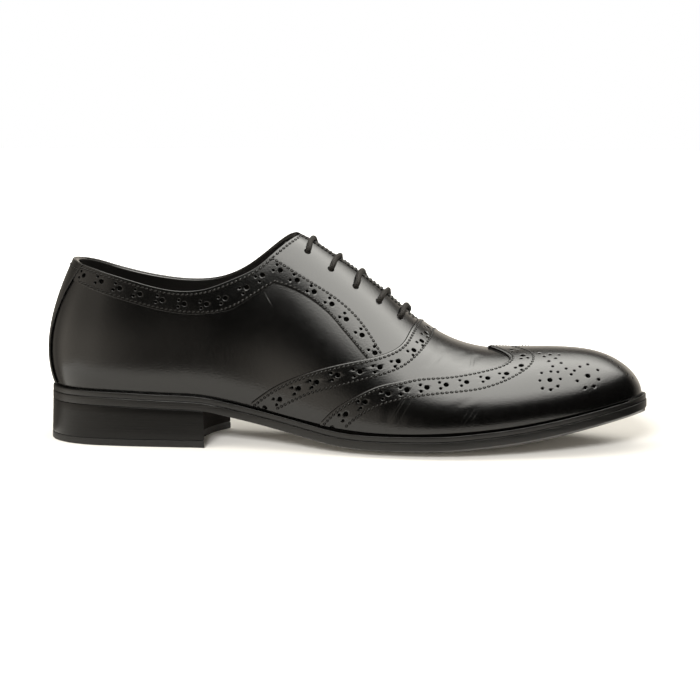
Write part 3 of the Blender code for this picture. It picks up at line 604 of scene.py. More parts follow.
# Hairline creases and scuffs that show on the photo's side: middle by x and z, length, width and tilt.
FINE_LINES = (
    (185.4, 24.6, 32.0, 0.7, 59.0), (187.8, 22.5, 20.0, 0.45, 61.0), (183.4, 23.5, 16.0, 0.45, 57.0),
    (199.9, 45.2, 15.0, 0.5, 51.0), (202.2, 45.0, 11.0, 0.4, 53.0), (216.9, 43.6, 7.0, 0.4, 88.0),
    (218.6, 43.4, 6.0, 0.35, 92.0), (219.0, 20.8, 11.0, 0.4, 57.0), (216.8, 21.2, 9.0, 0.35, 60.0),
    (221.5, 21.0, 7.0, 0.35, 55.0), (117.7, 74.0, 11.0, 0.35, -58.0),
)
THROUGH = 10.0              # a hairline's pattern runs right through the shoe, so it has no end in y
lines = None
for x, z, length, width, tilt in FINE_LINES:
    spindle = add_node(
        tree, "ShaderNodeMapping",
        {
            "Vector": place, "Location": ((x - ORIGIN_X) * MM, 0.0, z * MM),
            "Rotation": (0.0, math.radians(-tilt), 0.0), "Scale": (length / 2 * MM, THROUGH, width / 2 * MM),
        },
        vector_type="TEXTURE",
    )
    ridge = add_node(
        tree, "ShaderNodeTexGradient", {"Vector": spindle.outputs["Vector"]}, gradient_type="SPHERICAL",
    ).outputs["Fac"]
    if lines is not None:
        ridge = add_node(tree, "ShaderNodeMath", {0: lines, 1: ridge}, operation="ADD").outputs["Value"]
    lines = ridge
hairline = add_node(
    tree, "ShaderNodeBump",
    {"Height": lines, "Strength": 1.0, "Distance": -0.08 * MM, "Normal": grain.outputs["Normal"]},
)
tree.links.new(hairline.outputs["Normal"], shader.inputs["Normal"])

# Raw leather where it is cut, soaked with black dye: fibrous, with no gloss. The same material also paints
# shade: dark beds where the stitches prick the leather, and strips along the overlays' steps.
raw_leather_and_shade, tree, shader, place = start_material(
    "dyed raw leather", roughness=0.8, specular_ior_level=0.12,
)
fibre = add_node(tree, "ShaderNodeTexNoise", {"Vector": place, "Scale": per_mm(0.3), "Detail": 3.0})
dye_and_press(tree, shader, fibre.outputs["Fac"], "060605", "161412", strength=0.6, depth=0.1)

corner_start, corner_end = (along_at(x) for x in CORNER_X)
upper_share = np.linspace(0, 1, 57)[None]
upper_along = np.concatenate([
    even_spans(
        (0.0, along_at(HEEL_FAN_X), 40), (along_at(HEEL_FAN_X), corner_start, 50),
        (corner_start, corner_end, 40), (corner_end, along_at(THROAT_X), 50),
    ),
    np.linspace(along_at(THROAT_X), 1, 40),
])
top_line = {side: top_share(side, upper_along) for side in SIDES}
sheets = [
    (side, last_surface(side, upper_along[:, None], upper_share * top_line[side][:, None]))
    for side in SIDES
]
upper = add_piece("upper_quarters", *join_sheets(sheets), calf)
upper.data.materials.append(lining)
thicken(upper, WALL, UPPER_EDGE).material_offset = 1
eyelets = [(spot, normal) for side in SIDES for spot, normal, _, _ in eyelet_frames(side)]
eyelet_cutter = punches("eyelet_cutter", *zip(*eyelets), EYELET_RADIUS, EYELET_PROFILE, EYELET_SIDES)
punch(upper, eyelet_cutter)

# Facing and collar: one overlay of calf that doubles the edge of each quarter, from the back strip
# round the collar to the laces. It is stitched down and punched with a row of large and small holes.
OVERLAY_LOW, OVERLAY_HIGH = 0.3, 0.72  # outer face above the quarter, at the edge and at the panel
CORNER_SWELL = ((108.0, 120.0, 134.0, 165.0, 185.0), (0.0, 0.45, 0.4, -0.1, -0.25))  # change in that, by x
SLIT_RISE = ((126.0, 136.0, 170.0, 183.0), (-0.2, 0.8, 0.9, 0.0))  # the facing's straight run to the slit
SLIT_REACH = 13.0
SLIT_EASE = 0.4              # share of the overlay's own rise that is lost at the slit
COLLAR_THICK, COLLAR_EDGE = 1.3, 0.25
COLLAR_START = (13.0, 0.7)   # the overlay's end at the back strip, by x and share up
COLLAR_SHORT = 0.6           # it stops this far behind the throat
COLLAR_PUNCH = (-1.6, 0.0)   # depth to which its holes are punched
BAND_ROW = (
    (12.0, 0.700), (19.8, 0.675), (48.7, 0.578), (64.0, 0.532), (81.7, 0.500), (96.6, 0.492),
    (113.3, 0.558), (120.4, 0.602),
)
FACING_LOW_ROW = ((120.4, 0.602), (134.4, 0.595), (145.9, 0.570), (156.2, 0.508), (168.3, 0.420))
FACING_HIGH_ROW = (
    (117.4, 0.708), (130.9, 0.665), (142.4, 0.652), (154.6, 0.630), (164.1, 0.580), (174.5, 0.468),
)
BAND_HOLES = (
    (23.3, 0.705), (33.5, 0.678), (43.3, 0.642), (53.7, 0.610), (65.2, 0.575), (76.3, 0.548),
    (87.5, 0.532), (96.6, 0.542), (106.7, 0.572), (114.1, 0.622),
)
FACING_HOLES = (
    (122.6, 0.655), (131.2, 0.635), (139.8, 0.618), (148.8, 0.602), (156.4, 0.562), (164.6, 0.520),
    (171.5, 0.458),
)
COLLAR_OVER = 0.003         # share of the way up that the overlay's folded edge stands above the quarter's
BAND_EDGE_BELOW = 0.013     # share of the way up from the overlay's edge to its stitches
LARGE_HOLE, SMALL_HOLE = 1.2, 0.66
PRESSED_RIM = ((-0.34, 0.0), (-0.1, 0.09), (0.0, 0.26), (0.5, 0.7))  # a hole's rim: height and growth
# A large hole and the two small ones behind it: distance behind and to the side, and radius.
HOLE_GROUP = ((0.0, 0.0, LARGE_HOLE), (3.0, 1.65, SMALL_HOLE), (3.0, -1.65, SMALL_HOLE))
WALL_RUN, SHOE_RUN = 60.0, 330.0  # rough lengths for a share of 1, up the wall and along the shoe
APPROACH_STEPS = 12


def section_of(side, x, up):
    """Share along the shoe where a row at the given share up passes x, found by stepping to it."""
    along = along_at(x)
    for _ in range(APPROACH_STEPS):
        along = np.clip(along + (x - last_surface(side, along, up)[..., 0]) / SHOE_RUN, 0, 1)
    return along


def seam_places(side, spots, count=200):
    """Sections and shares up along a smooth line through spots given by x and share up."""
    x, up = np.array(spots, float).T
    run = run_along(np.column_stack([x, WALL_RUN * up]))
    at = np.linspace(0, run[-1], count)
    x, up = spline(run, x)(at), np.minimum(spline(run, up)(at), 1.0)
    return section_of(side, x, up), up


def moved_over(side, along, up, move):
    """Section and share up after a small move over the surface: the mix of the surface's two slopes
    that comes nearest to the move."""
    forward = (last_surface(side, along + TINY, up) - last_surface(side, along - TINY, up)) / (2 * TINY)
    upward = (last_surface(side, along, up + TINY) - last_surface(side, along, up - TINY)) / (2 * TINY)
    ff, fu, uu = ((p * q).sum(-1) for p, q in ((forward, forward), (forward, upward), (upward, upward)))
    mf, mu = (move * forward).sum(-1), (move * upward).sum(-1)
    whole = ff * uu - fu * fu
    return along + (mf * uu - mu * fu) / whole, up + (mu * ff - mf * fu) / whole


def hole_row(side, spots, rise_at):
    """Places, normals and radii of a row of large holes, each with a pair of small ones behind it."""
    x, up = np.array(spots, float).T
    along = section_of(side, x, up)
    spot, normal = last_surface(side, along, up), last_normal(side, along, up)
    ahead = np.gradient(spot, axis=0)
    ahead = unit(ahead - normal * (ahead * normal).sum(1, keepdims=True))
    aside = np.cross(normal, ahead)
    holes = []
    for behind, apart, radius in HOLE_GROUP:
        at, high = moved_over(side, along, up, aside * apart - ahead * behind)
        place = raised(side, at, high, rise_at(side, at, high))
        holes.append((place, last_normal(side, at, high), np.full(len(x), radius)))
    return join_holes(holes)


def join_holes(rows):
    """Places, normals and radii of several rows of holes as one list."""
    return [np.concatenate(part) for part in zip(*rows)]


def collar_lines(side, along):
    """Share up of the overlay's lower edge and of the line where it is thickest, at each section."""
    x, up = np.array(BAND_ROW[:-1] + FACING_LOW_ROW, float).T
    sections = section_of(side, x, up)
    foot = monotone(sections, up - BAND_EDGE_BELOW)(np.clip(along, sections[0], sections[-1]))
    x, up = np.array(FACING_HIGH_ROW, float).T
    sections = section_of(side, x, up)
    panel = monotone(sections, up)(np.clip(along, sections[0], sections[-1]))
    return foot, panel


def overlay_rise(side, along, up):
    """Height of the overlay's outer face: it rises evenly from its lower edge to the panel's line, and
    near the slit it rises as a square, because a facing runs straight where the last is round."""
    foot, panel = collar_lines(side, along)
    share = np.clip((up - foot) / (panel - foot), 0, 1)
    x = last_surface(side, along, up)[..., 0]
    near_slit = np.clip(1 - ridge_distance(side, along, up) / SLIT_REACH, 0, 1) ** 2
    high = OVERLAY_HIGH + np.interp(x, *CORNER_SWELL)
    rise = OVERLAY_LOW + (high - OVERLAY_LOW) * share
    return rise + near_slit * (np.interp(x, *SLIT_RISE) - SLIT_EASE * (rise - OVERLAY_LOW))


def collar_sheet(side):
    """The overlay between its lower edge and the upper's top edge, at sections from heel to throat."""
    end = section_of(side, *FACING_LOW_ROW[-1])
    along = np.concatenate([
        even_spans(
            (section_of(side, *COLLAR_START), corner_start, 90), (corner_start, corner_end, 50),
            (corner_end, end, 36),
        ),
        np.linspace(end, along_at(THROAT_X - COLLAR_SHORT), 24),
    ])
    foot, _ = collar_lines(side, along)
    top = np.minimum(top_share(side, along) + COLLAR_OVER, 1.0)
    along, up = along[:, None], foot[:, None] + (top - foot)[:, None] * np.linspace(0, 1, 33)
    return raised(side, along, up, overlay_rise(side, np.broadcast_to(along, up.shape), up))


collar = add_piece("facing_and_collar", *join_sheets([(side, collar_sheet(side)) for side in SIDES]), calf)
thicken(collar, COLLAR_THICK, COLLAR_EDGE)
rows = [hole_row(side, spots, overlay_rise) for side in SIDES for spots in (BAND_HOLES, FACING_HOLES)]
collar_cutter = punches("collar_cutter", *join_holes(rows), (COLLAR_PUNCH, *PRESSED_RIM))
punch(collar, eyelet_cutter)
punch(collar, collar_cutter)
punch(upper, collar_cutter)
for piece in (collar, upper):
    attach(piece, "root")
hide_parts("upper")

# Vamp: an overlay of calf over the instep and forefoot, from its curved back edge to the toe, lasted
# with the upper. A row of large and small holes is punched between two rows of stitches.
VAMP_RISE, VAMP_THICK = 1.3, 1.2
VAMP_PUNCH = (-2.2, 0.0)
OVERLAY_ROWS = 64
CUT_EDGE = 0.3               # rounding of an overlay's cut edge
CREASE_RIDGE, RIDGE_AWAY = 0.35, 2.2  # ridges beside a crease: share of its depth, and widths away
OVERLAY_FOOT = 0.02
SKIVE_DEPTH, SKIVE_WIDTH = 0.3, 0.4
SKIVE_STEPS = np.array([0.0, 0.001, 0.002, 0.0032, 0.0046, 0.0065, 0.009, 0.0125])  # share of the length
EDGE_COLUMNS = ("up", "x")
VAMP_EDGE_ROWS = (
    (0.0, 108.0), (0.16, 124.0), (0.25, 139.0), (0.33, 154.4), (0.41, 168.6), (0.46, 174.8),
    (0.56, 182.2), (0.73, 186.2), (0.90, 187.8), (1.0, 188.0),
)
VAMP_HOLES = (
    (117.4, 0.028), (125.5, 0.100), (135.2, 0.175), (144.3, 0.225), (154.6, 0.283), (165.2, 0.330),
    (174.5, 0.388), (182.8, 0.468), (189.3, 0.598), (192.1, 0.715), (193.0, 0.830), (193.2, 0.945),
)
# Creases of a shoe that has been tried on: both ends by x and share up, width and depth.
VAMP_CREASES = (
    (195.5, 0.50, 202.0, 0.76, 1.6, 0.22), (199.5, 0.52, 205.0, 0.70, 1.4, 0.12),
    (214.0, 0.56, 219.5, 0.78, 1.7, 0.20), (209.0, 0.62, 212.0, 0.80, 1.5, 0.10),
    (198.5, 0.36, 200.5, 0.44, 1.6, 0.10),
)
vamp_edge_x = table_spline(VAMP_EDGE_ROWS, EDGE_COLUMNS, "up", "x")


def crease_depth(side, points, creases):
    """Depth of soft troughs along short lines: a bell curve of the distance from each line, with a
    low ridge on both sides where the leather is pushed up."""
    depth = np.zeros(points.shape[:-1])
    for x0, up0, x1, up1, width, deep in creases:
        start, end = (last_surface(side, section_of(side, x, up), up) for x, up in ((x0, up0), (x1, up1)))
        line = end - start
        share = np.clip(((points - start) @ line) / (line @ line), 0, 1)
        away = np.linalg.norm(points - start - share[..., None] * line, axis=-1) / width
        fade = np.clip(4 * share * (1 - share), 0, 1) ** 0.5
        depth += deep * fade * (np.exp(-away ** 2) - CREASE_RIDGE * np.exp(-(away - RIDGE_AWAY) ** 2))
    return depth


def vamp_rise(side, along, up):
    """Height of the vamp's outer face above the quarters."""
    return np.full(np.shape(along), VAMP_RISE)


def overlay_sheet(side, edge_x, rise, creases, columns):
    """An overlay from its back edge to the toe's tip, less the depth of its creases. Its edge is skived:
    the height falls off there as a bell curve of the distance."""
    up = np.linspace(OVERLAY_FOOT, 1, OVERLAY_ROWS + 1)
    edge = section_of(side, edge_x(up), up)
    share = np.concatenate([SKIVE_STEPS, np.linspace(SKIVE_STEPS[-1], 1, columns + 1)[1:]])[:, None]
    along = edge + (1 - edge) * share
    points = last_surface(side, along, up)
    from_edge = np.linalg.norm(points - points[:1], axis=-1)
    depth = crease_depth(side, points, creases) + SKIVE_DEPTH * np.exp(-(from_edge / SKIVE_WIDTH) ** 2)
    return raised(side, along, np.broadcast_to(up, along.shape), rise - depth)


def add_overlay(name, edge_x, rise, thick, creases, columns):
    """An overlay of calf on both sides with its thickness inwards. Its cut edge is raw leather."""
    sheets = [(side, overlay_sheet(side, edge_x, rise, creases, columns)) for side in SIDES]
    piece = add_piece(name, *join_sheets(sheets), calf)
    piece.data.materials.append(raw_leather_and_shade)
    thicken(piece, thick, CUT_EDGE).material_offset_rim = 1
    return piece


vamp = add_overlay("vamp_overlay", vamp_edge_x, VAMP_RISE, VAMP_THICK, VAMP_CREASES, 150)
rows = [hole_row(side, VAMP_HOLES, vamp_rise) for side in SIDES]
vamp_cutter = punches("vamp_cutter", *join_holes(rows), (VAMP_PUNCH, *PRESSED_RIM))
for piece in (vamp, collar, upper):
    punch(piece, vamp_cutter)
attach(vamp, "root")
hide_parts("vamp")

# Wingtip: a second overlay of calf over the toe, with its peak on the ridge and wings along both sides.
# It has its own row of holes, and a medallion of holes is punched over the toe.
WING_RISE, WING_THICK = 2.5, 1.15
WING_PUNCH = (-2.0, 0.0)
WING_CREASES = (
    (182.0, 0.21, 178.8, 0.02, 1.8, 0.16), (187.0, 0.20, 185.0, 0.04, 1.8, 0.08),
    (208.0, 0.18, 222.0, 0.30, 1.5, 0.07), (214.0, 0.15, 224.5, 0.23, 1.5, 0.06),
)
WING_EDGE_ROWS = (
    (0.0, 145.0), (0.13, 155.4), (0.22, 166.5), (0.30, 177.4), (0.34, 183.8), (0.42, 195.4), (0.48, 208.3),
    (0.55, 221.0), (0.61, 229.8), (0.66, 233.8), (0.73, 235.5), (0.80, 233.8), (0.88, 230.0), (1.0, 223.0),
)
WING_HOLES = (
    (152.8, 0.018), (159.6, 0.105), (168.9, 0.185), (179.6, 0.255), (188.3, 0.302), (197.6, 0.348),
    (206.6, 0.392), (216.2, 0.430), (226.0, 0.475), (234.8, 0.520), (241.5, 0.612), (241.7, 0.763),
    (235.5, 0.900),
)
MEDALLION_LARGE = ((255.6, 0.413), (273.2, 0.428))
MEDALLION_SMALL = (
    (251.5, 0.503), (250.9, 0.418), (252.2, 0.332), (256.1, 0.308), (259.4, 0.335), (260.5, 0.413),
    (259.2, 0.500), (255.9, 0.512), (256.6, 0.578), (254.6, 0.655), (257.7, 0.698), (260.5, 0.620),
    (259.2, 0.758), (254.8, 0.768), (252.0, 0.735), (249.6, 0.790), (263.0, 0.538), (265.5, 0.458),
    (266.9, 0.505), (269.4, 0.560), (273.0, 0.600), (277.7, 0.515), (278.3, 0.370), (276.0, 0.285),
    (272.0, 0.280), (268.4, 0.370), (281.1, 0.893), (284.0, 0.812), (287.2, 0.698), (291.1, 0.588),
    (293.2, 0.592),
)
wing_edge_x = table_spline(WING_EDGE_ROWS, EDGE_COLUMNS, "up", "x")


def wing_rise(side, along, up):
    """Height of the wingtip's outer face above the quarters."""
    return np.full(np.shape(along), WING_RISE)


def single_holes(side, spots, radius):
    """Places, normals and radii of holes of one size."""
    x, up = np.array(spots, float).T
    along = section_of(side, x, up)
    place = raised(side, along, up, wing_rise(side, along, up))
    return place, last_normal(side, along, up), np.full(len(x), radius)


wing = add_overlay("wingtip_overlay", wing_edge_x, WING_RISE, WING_THICK, WING_CREASES, 130)
rows = [hole_row(side, WING_HOLES, wing_rise) for side in SIDES]
rows += [single_holes(side, MEDALLION_LARGE, LARGE_HOLE) for side in SIDES]
rows += [single_holes(side, MEDALLION_SMALL, SMALL_HOLE) for side in SIDES]
wing_cutter = punches("wing_cutter", *join_holes(rows), (WING_PUNCH, *PRESSED_RIM))
punch(wing, wing_cutter)
punch(vamp, wing_cutter)
for piece in (upper, collar, vamp, wing):
    settle(piece)
for cutter in (eyelet_cutter, collar_cutter, vamp_cutter, wing_cutter):
    bpy.data.objects.remove(cutter)
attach(wing, "root")
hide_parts("wingtip")

# Back strip: a strip of calf over the seam at the heel's back, widest at the collar, where a seam
# crosses it. It is sewn down under its turned edges.
STRIP_RISE, STRIP_THICK = 1.05, 1.01
STRIP_COLUMNS = ("up", "half")
STRIP_ROWS = ((0.0, 14.8), (0.18, 14.2), (0.31, 13.8), (0.52, 13.6), (0.70, 14.6), (1.0, 17.0))
STRIP_SEAM = 0.955          # share of the collar's height where a seam crosses the strip
strip_half = table_spline(STRIP_ROWS, STRIP_COLUMNS, "up", "half")


def strip_edge(side, share):
    """Sections of the strip's edge, and shares up of the whole wall, at shares of the collar's height."""
    dense = np.linspace(0, along_at(HEEL_FAN_X), EDGE_STEPS)
    top = top_share(side, dense)
    out = np.abs(last_surface(side, dense[:, None], share * top[:, None])[..., 1])
    edge = np.array([np.interp(strip_half(s), out[:, k], dense) for k, s in enumerate(share)])
    return edge, dense, top


def strip_sheet(side, rows=60, columns=26):
    """The strip from the seam out to its edge, in rows at even shares of the collar's height."""
    share = np.linspace(OVERLAY_FOOT, 1, rows + 1)
    edge, dense, top = strip_edge(side, share)
    along = edge * np.linspace(0, 1, columns + 1)[:, None]
    return raised(side, along, share * np.interp(along, dense, top), np.full(along.shape, STRIP_RISE))


strip = add_piece("heel_strip", *join_sheets([(side, strip_sheet(side)) for side in SIDES]), calf)
thicken(strip, STRIP_THICK, CUT_EDGE)
settle(strip)
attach(strip, "root")
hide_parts("back_strip")

# Stitching: rows of waxed linen thread, about ten stitches to the inch, pulled into the leather along
# every cut edge and on both sides of each row of holes. A lockstitch lies a little slantwise.
STITCH_PITCH = 2.3
STITCH_LENGTH = 1.6
THREAD_RADIUS = 0.32
STITCH_SLANT = math.radians(24)
THREAD_SIDES = 6
ARCH_SHARES = np.array([-1.0, -0.8, -0.3, 0.3, 0.8, 1.0])  # places along half a stitch's length
ARCH_HIGH, ARCH_SUNK = 0.75, 0.5  # of a thread's radius: height of a stitch's arch, depth of its ends
ARCH_TAPER = 0.8
BED_LENGTH, BED_WIDTH = 2.0, 1.45
BED_SIDES = 10
BED_ROWS = ((1.0, 0.015), (0.6, 0.05))  # a bed's rings: share of its size, and height
EDGE_ROW_SPAN = (0.03, 1.0)    # shares up between which an overlay's edge is sewn
EDGE_ROW_INSET = 1.55
TOP_ROW_INSET = 1.5
EDGE_SHADE_SPAN = (0.15, -0.5)       # a dark strip of painted shade along an overlay's edge, from under the edge to behind it
EDGE_SHADE_RISE = 0.03          # its height above what it lies on
STRIP_SEAM_SPAN = (0.02, 0.92)  # the cross seam's ends, as shares of the strip's half width
TOP_ROW_START, TOP_ROW_END = (21.0, 0.8), 187.0  # from the back strip to the throat
VAMP_ROW = (
    (123.4, 0.040), (139.5, 0.158), (150.9, 0.215), (166.0, 0.292), (176.6, 0.362), (185.3, 0.455),
    (192.3, 0.622), (195.6, 0.865), (195.2, 1.0),
)
WING_ROW = (
    (159.1, 0.032), (164.1, 0.088), (174.2, 0.173), (185.8, 0.240), (198.7, 0.300), (213.5, 0.345),
    (225.2, 0.382), (230.6, 0.415), (234.8, 0.448), (238.8, 0.490), (242.5, 0.540), (245.2, 0.595),
    (246.7, 0.658), (246.5, 0.765), (243.0, 0.870), (235.5, 1.0),
)


def seam_line(side, along, up, rise, inset=0.0):
    """Points and normals along a seam, moved sideways over the surface by an inset."""
    spot = raised(side, along, up, np.broadcast_to(rise, np.shape(along)))
    normal = last_normal(side, along, up)
    aside = unit(np.cross(normal, np.gradient(spot, axis=0)))
    return spot + aside * inset, normal


def stitch_places(spot, normal):
    """Middles, directions and normals of stitches at an even pitch along a seam."""
    run = run_along(spot)
    at = np.arange(STITCH_PITCH / 2, run[-1], STITCH_PITCH)
    middle, out, ahead = (
        np.stack([np.interp(at, run, part) for part in line.T], 1)
        for line in (spot, normal, np.gradient(spot, run, axis=0))
    )
    out = unit(out)
    ahead = unit(ahead - out * (ahead * out).sum(1, keepdims=True))
    return middle, ahead, out


def stitch_mesh(seams, length, radius, slant):
    """One mesh of stitches: a thin ring carried over a low arch from one needle hole to the next."""
    middle, ahead, out = (np.concatenate(part) for part in zip(*seams))
    aside = np.cross(out, ahead)
    ahead = ahead * math.cos(slant) + aside * math.sin(slant)
    aside = np.cross(out, ahead)
    share, k = ARCH_SHARES, np.arange(THREAD_SIDES)
    arch = ARCH_HIGH * radius * (1 - share ** 2) - ARCH_SUNK * radius
    thick = radius * np.sqrt(1 - ARCH_TAPER * share ** 4)
    turn = 2 * np.pi * k / THREAD_SIDES
    core = middle[:, None] + ahead[:, None] * (share * length / 2)[:, None] + out[:, None] * arch[:, None]
    ring = aside[:, None] * np.cos(turn)[:, None] + out[:, None] * np.sin(turn)[:, None]
    points = core[:, :, None] + ring[:, None] * thick[:, None, None]
    quads = grid_quads(len(share), THREAD_SIDES, closed=True)
    start = np.arange(len(middle))[:, None] * len(share) * THREAD_SIDES
    faces = (start[:, :, None] + quads).reshape(-1, 4).tolist()
    faces += (start + k).tolist()
    faces += (start + (len(share) - 1) * THREAD_SIDES + k[::-1]).tolist()
    return points, faces


def stitch_shade_beds(seams, length, width):
    """One mesh of dark beds under the stitches, painted shade of the needle holes and of the thread's
    shadow: a low dome over an oval.
    """
    middle, ahead, out = (np.concatenate(part) for part in zip(*seams))
    aside = np.cross(out, ahead)
    k = np.arange(BED_SIDES)
    turn = 2 * np.pi * k / BED_SIDES
    oval = ahead[:, None] * (np.cos(turn) * length / 2)[:, None]
    oval = oval + aside[:, None] * (np.sin(turn) * width / 2)[:, None]
    points = np.stack([middle[:, None] + oval * size + out[:, None] * high for size, high in BED_ROWS], 1)
    start = np.arange(len(middle))[:, None] * len(BED_ROWS) * BED_SIDES
    quads = grid_quads(len(BED_ROWS), BED_SIDES, closed=True)[:, [0, 3, 2, 1]]
    faces = (start[:, :, None] + quads).reshape(-1, 4).tolist()
    faces += (start + BED_SIDES + k).tolist()
    return points, faces


def collar_below(side, along, up):
    """Height of what lies under the vamp's back edge: the quarter, or the facing where that reaches."""
    foot, _ = collar_lines(side, along)
    return np.where(up > foot, overlay_rise(side, along, up), 0.0)


# Waxed linen thread, black: round, tightly laid, duller than the calf around it.
thread, tree, shader, place = start_material("waxed thread", roughness=0.36, specular_ior_level=0.5)
lay = add_node(tree, "ShaderNodeTexNoise", {"Vector": place, "Scale": per_mm(0.35), "Detail": 2.0})
dye_and_press(tree, shader, lay.outputs["Fac"], "080808", "1c1b1a", strength=0.6, depth=0.05)

edge_up = np.linspace(*EDGE_ROW_SPAN, 260)
seams, step_shade_strips = [], []
for side in SIDES:
    for edge_x, rise, rise_below in (
        (vamp_edge_x, VAMP_RISE, collar_below), (wing_edge_x, WING_RISE, vamp_rise),
    ):
        along = section_of(side, edge_x(edge_up), edge_up)
        seams.append(seam_line(side, along, edge_up, rise, EDGE_ROW_INSET * side))
        below = rise_below(side, along, edge_up) + EDGE_SHADE_RISE
        strip_rows = [seam_line(side, along, edge_up, below, at * side)[0] for at in EDGE_SHADE_SPAN]
        step_shade_strips.append((side, np.stack(strip_rows, 1)))
    for spots, rise in ((VAMP_ROW, VAMP_RISE), (WING_ROW, WING_RISE)):
        seams.append(seam_line(side, *seam_places(side, spots), rise))
    for spots in (BAND_ROW[1:], FACING_LOW_ROW, FACING_HIGH_ROW):
        along, up = seam_places(side, spots)
        seams.append(seam_line(side, along, up, overlay_rise(side, along, up)))
    edge, dense, top = strip_edge(side, np.array([STRIP_SEAM]))
    along = np.linspace(*STRIP_SEAM_SPAN, 60) * edge
    seams.append(seam_line(side, along, STRIP_SEAM * np.interp(along, dense, top), STRIP_RISE))
    collar_along = np.linspace(section_of(side, *TOP_ROW_START), along_at(TOP_ROW_END), 700)
    collar_top = top_share(side, collar_along)
    rise = overlay_rise(side, collar_along, collar_top)
    seams.append(seam_line(side, collar_along, collar_top, rise, TOP_ROW_INSET * side))
stitches = [stitch_places(*seam) for seam in seams]
stitching = add_piece(
    "stitching", *stitch_mesh(stitches, STITCH_LENGTH, THREAD_RADIUS, STITCH_SLANT), thread,
)
# Dark beds under every stitch: painted shade of the needle holes and of the thread's shadow.
needle_hole_shade = add_piece("stitch_shade_beds", *stitch_shade_beds(stitches, BED_LENGTH, BED_WIDTH), raw_leather_and_shade)
# A dark strip at the foot of each overlay's edge: painted shade of the step that the overlay makes.
edge_step_shade = add_piece("edge_step_shade", *join_sheets(step_shade_strips), raw_leather_and_shade)
for piece in (stitching, needle_hole_shade, edge_step_shade):
    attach(piece, "root")

# Tongue: a padded leather tongue under the facings, caught under the vamp at its lower end. It shows
# in the slit behind the laces and at the collar.
TONGUE_SPAN = (124.0, 199.0)
TONGUE_CAUGHT_X = 184.0
TONGUE_DROP, TONGUE_DROP_LOW = 6.4, 2.6
TONGUE_FOOT = 0.60
TONGUE_THICK, TONGUE_EDGE = 2.0, 0.5


def tongue_sheet(side):
    """The tongue level with the facings, rising to the vamp's seam at its low end."""
    x, up = np.linspace(*TONGUE_SPAN, 61), np.linspace(TONGUE_FOOT, 1, 25)
    drop = np.interp(x, (TONGUE_CAUGHT_X, TONGUE_SPAN[1]), (TONGUE_DROP, TONGUE_DROP_LOW))
    return raised(side, along_at(x)[:, None], up, -drop[:, None])


tongue = add_piece("tongue_leather", *join_sheets([(side, tongue_sheet(side)) for side in SIDES]), calf)
thicken(tongue, TONGUE_THICK, TONGUE_EDGE)
settle(tongue)
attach(tongue, "root")
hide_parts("tongue")

# Lace: one round waxed cotton cord, threaded straight. Five bars cross the slit, and hidden runs inside
# the facings join them. Both ends stop under the top eyelets.
LACE_RADIUS = 1.35
LACE_OVER, LACE_UNDER = 2.2, 3.9
LACE_LANE = 3.3              # the hidden runs pass an eyelet this far to its side
LACE_SIDES, LACE_STEPS = 14, 1400
ROUTE_POWER = 0.7            # of the steps between the route's points, so that its turns stay tight
BAR_SHARES = (0.6, 0.3)      # points on a bar, as shares of the way from the slit to the eyelet
STRAND_SLANT, STRAND_PITCH = 38, 0.924  # slant in degrees, and distance between strands
WAVE_PERIOD = math.pi / 10   # of the wave texture at a scale of 1
# The turn through an eyelet: height, distance towards the slit, and distance back along the run.
TURN_ROWS = ((-LACE_UNDER, 0.0, 2.4), (-2.9, 0.0, 0.24), (-0.4, -0.2, 0.0), (1.7, 0.9, 0.0))


def lace_route():
    """The lace from one hidden end to the other: five bars over the slit, and runs inside the facings
    from each eyelet to the next one that the same length of lace comes up through."""
    frames = {side: eyelet_frames(side) for side in SIDES}
    points = []

    def inside(side, k, lane):
        spot, normal, to_slit, _ = frames[side][k]
        points.append(spot - normal * LACE_UNDER + to_slit * lane)

    def through(side, k, before, after):
        """Points at one eyelet, going up from the run before it or down to the run after it."""
        spot, normal, to_slit, to_toe = frames[side][k]
        from_eyelet = after if before is None else before
        run = to_toe * math.copysign(1.0, from_eyelet - k)
        turn = [spot + normal * out + to_slit * aside + run * back for out, aside, back in TURN_ROWS]
        points.extend(turn[::-1] if before is None else turn)

    def bar(start, k, before, after):
        through(start, k, before, None)
        x, from_ridge, bow = EYELET_ROWS[k]
        stops = [(start, share) for share in (*BAR_SHARES, 0.0)]
        stops += [(-start, share) for share in reversed(BAR_SHARES)]
        for side, share in stops:
            along = along_at(x + bow * (1 - share))
            points.append(raised(side, along, up_at(side, along, from_ridge * share), LACE_OVER))
        through(-start, k, None, after)

    inside(LATERAL, 0, -LACE_LANE)
    bar(LATERAL, 1, 0, 3)
    inside(MEDIAL, 2, LACE_LANE)
    bar(MEDIAL, 3, 2, 4)
    bar(LATERAL, 4, 3, 2)
    inside(MEDIAL, 3, -LACE_LANE)
    bar(MEDIAL, 2, 3, 0)
    inside(LATERAL, 1, LACE_LANE)
    bar(LATERAL, 0, 1, 1)
    return np.array(points)


def tube(path, radius, sides):
    """A circle carried along a path, with its rings square to the path and level across."""
    ahead = unit(np.gradient(path, axis=0))
    across = unit(np.cross(ahead, (0, 0, 1)))
    upward = np.cross(across, ahead)
    turn = np.linspace(0, 2 * np.pi, sides, endpoint=False)[:, None]
    return path[:, None] + radius * (across[:, None] * np.cos(turn) + upward[:, None] * np.sin(turn))


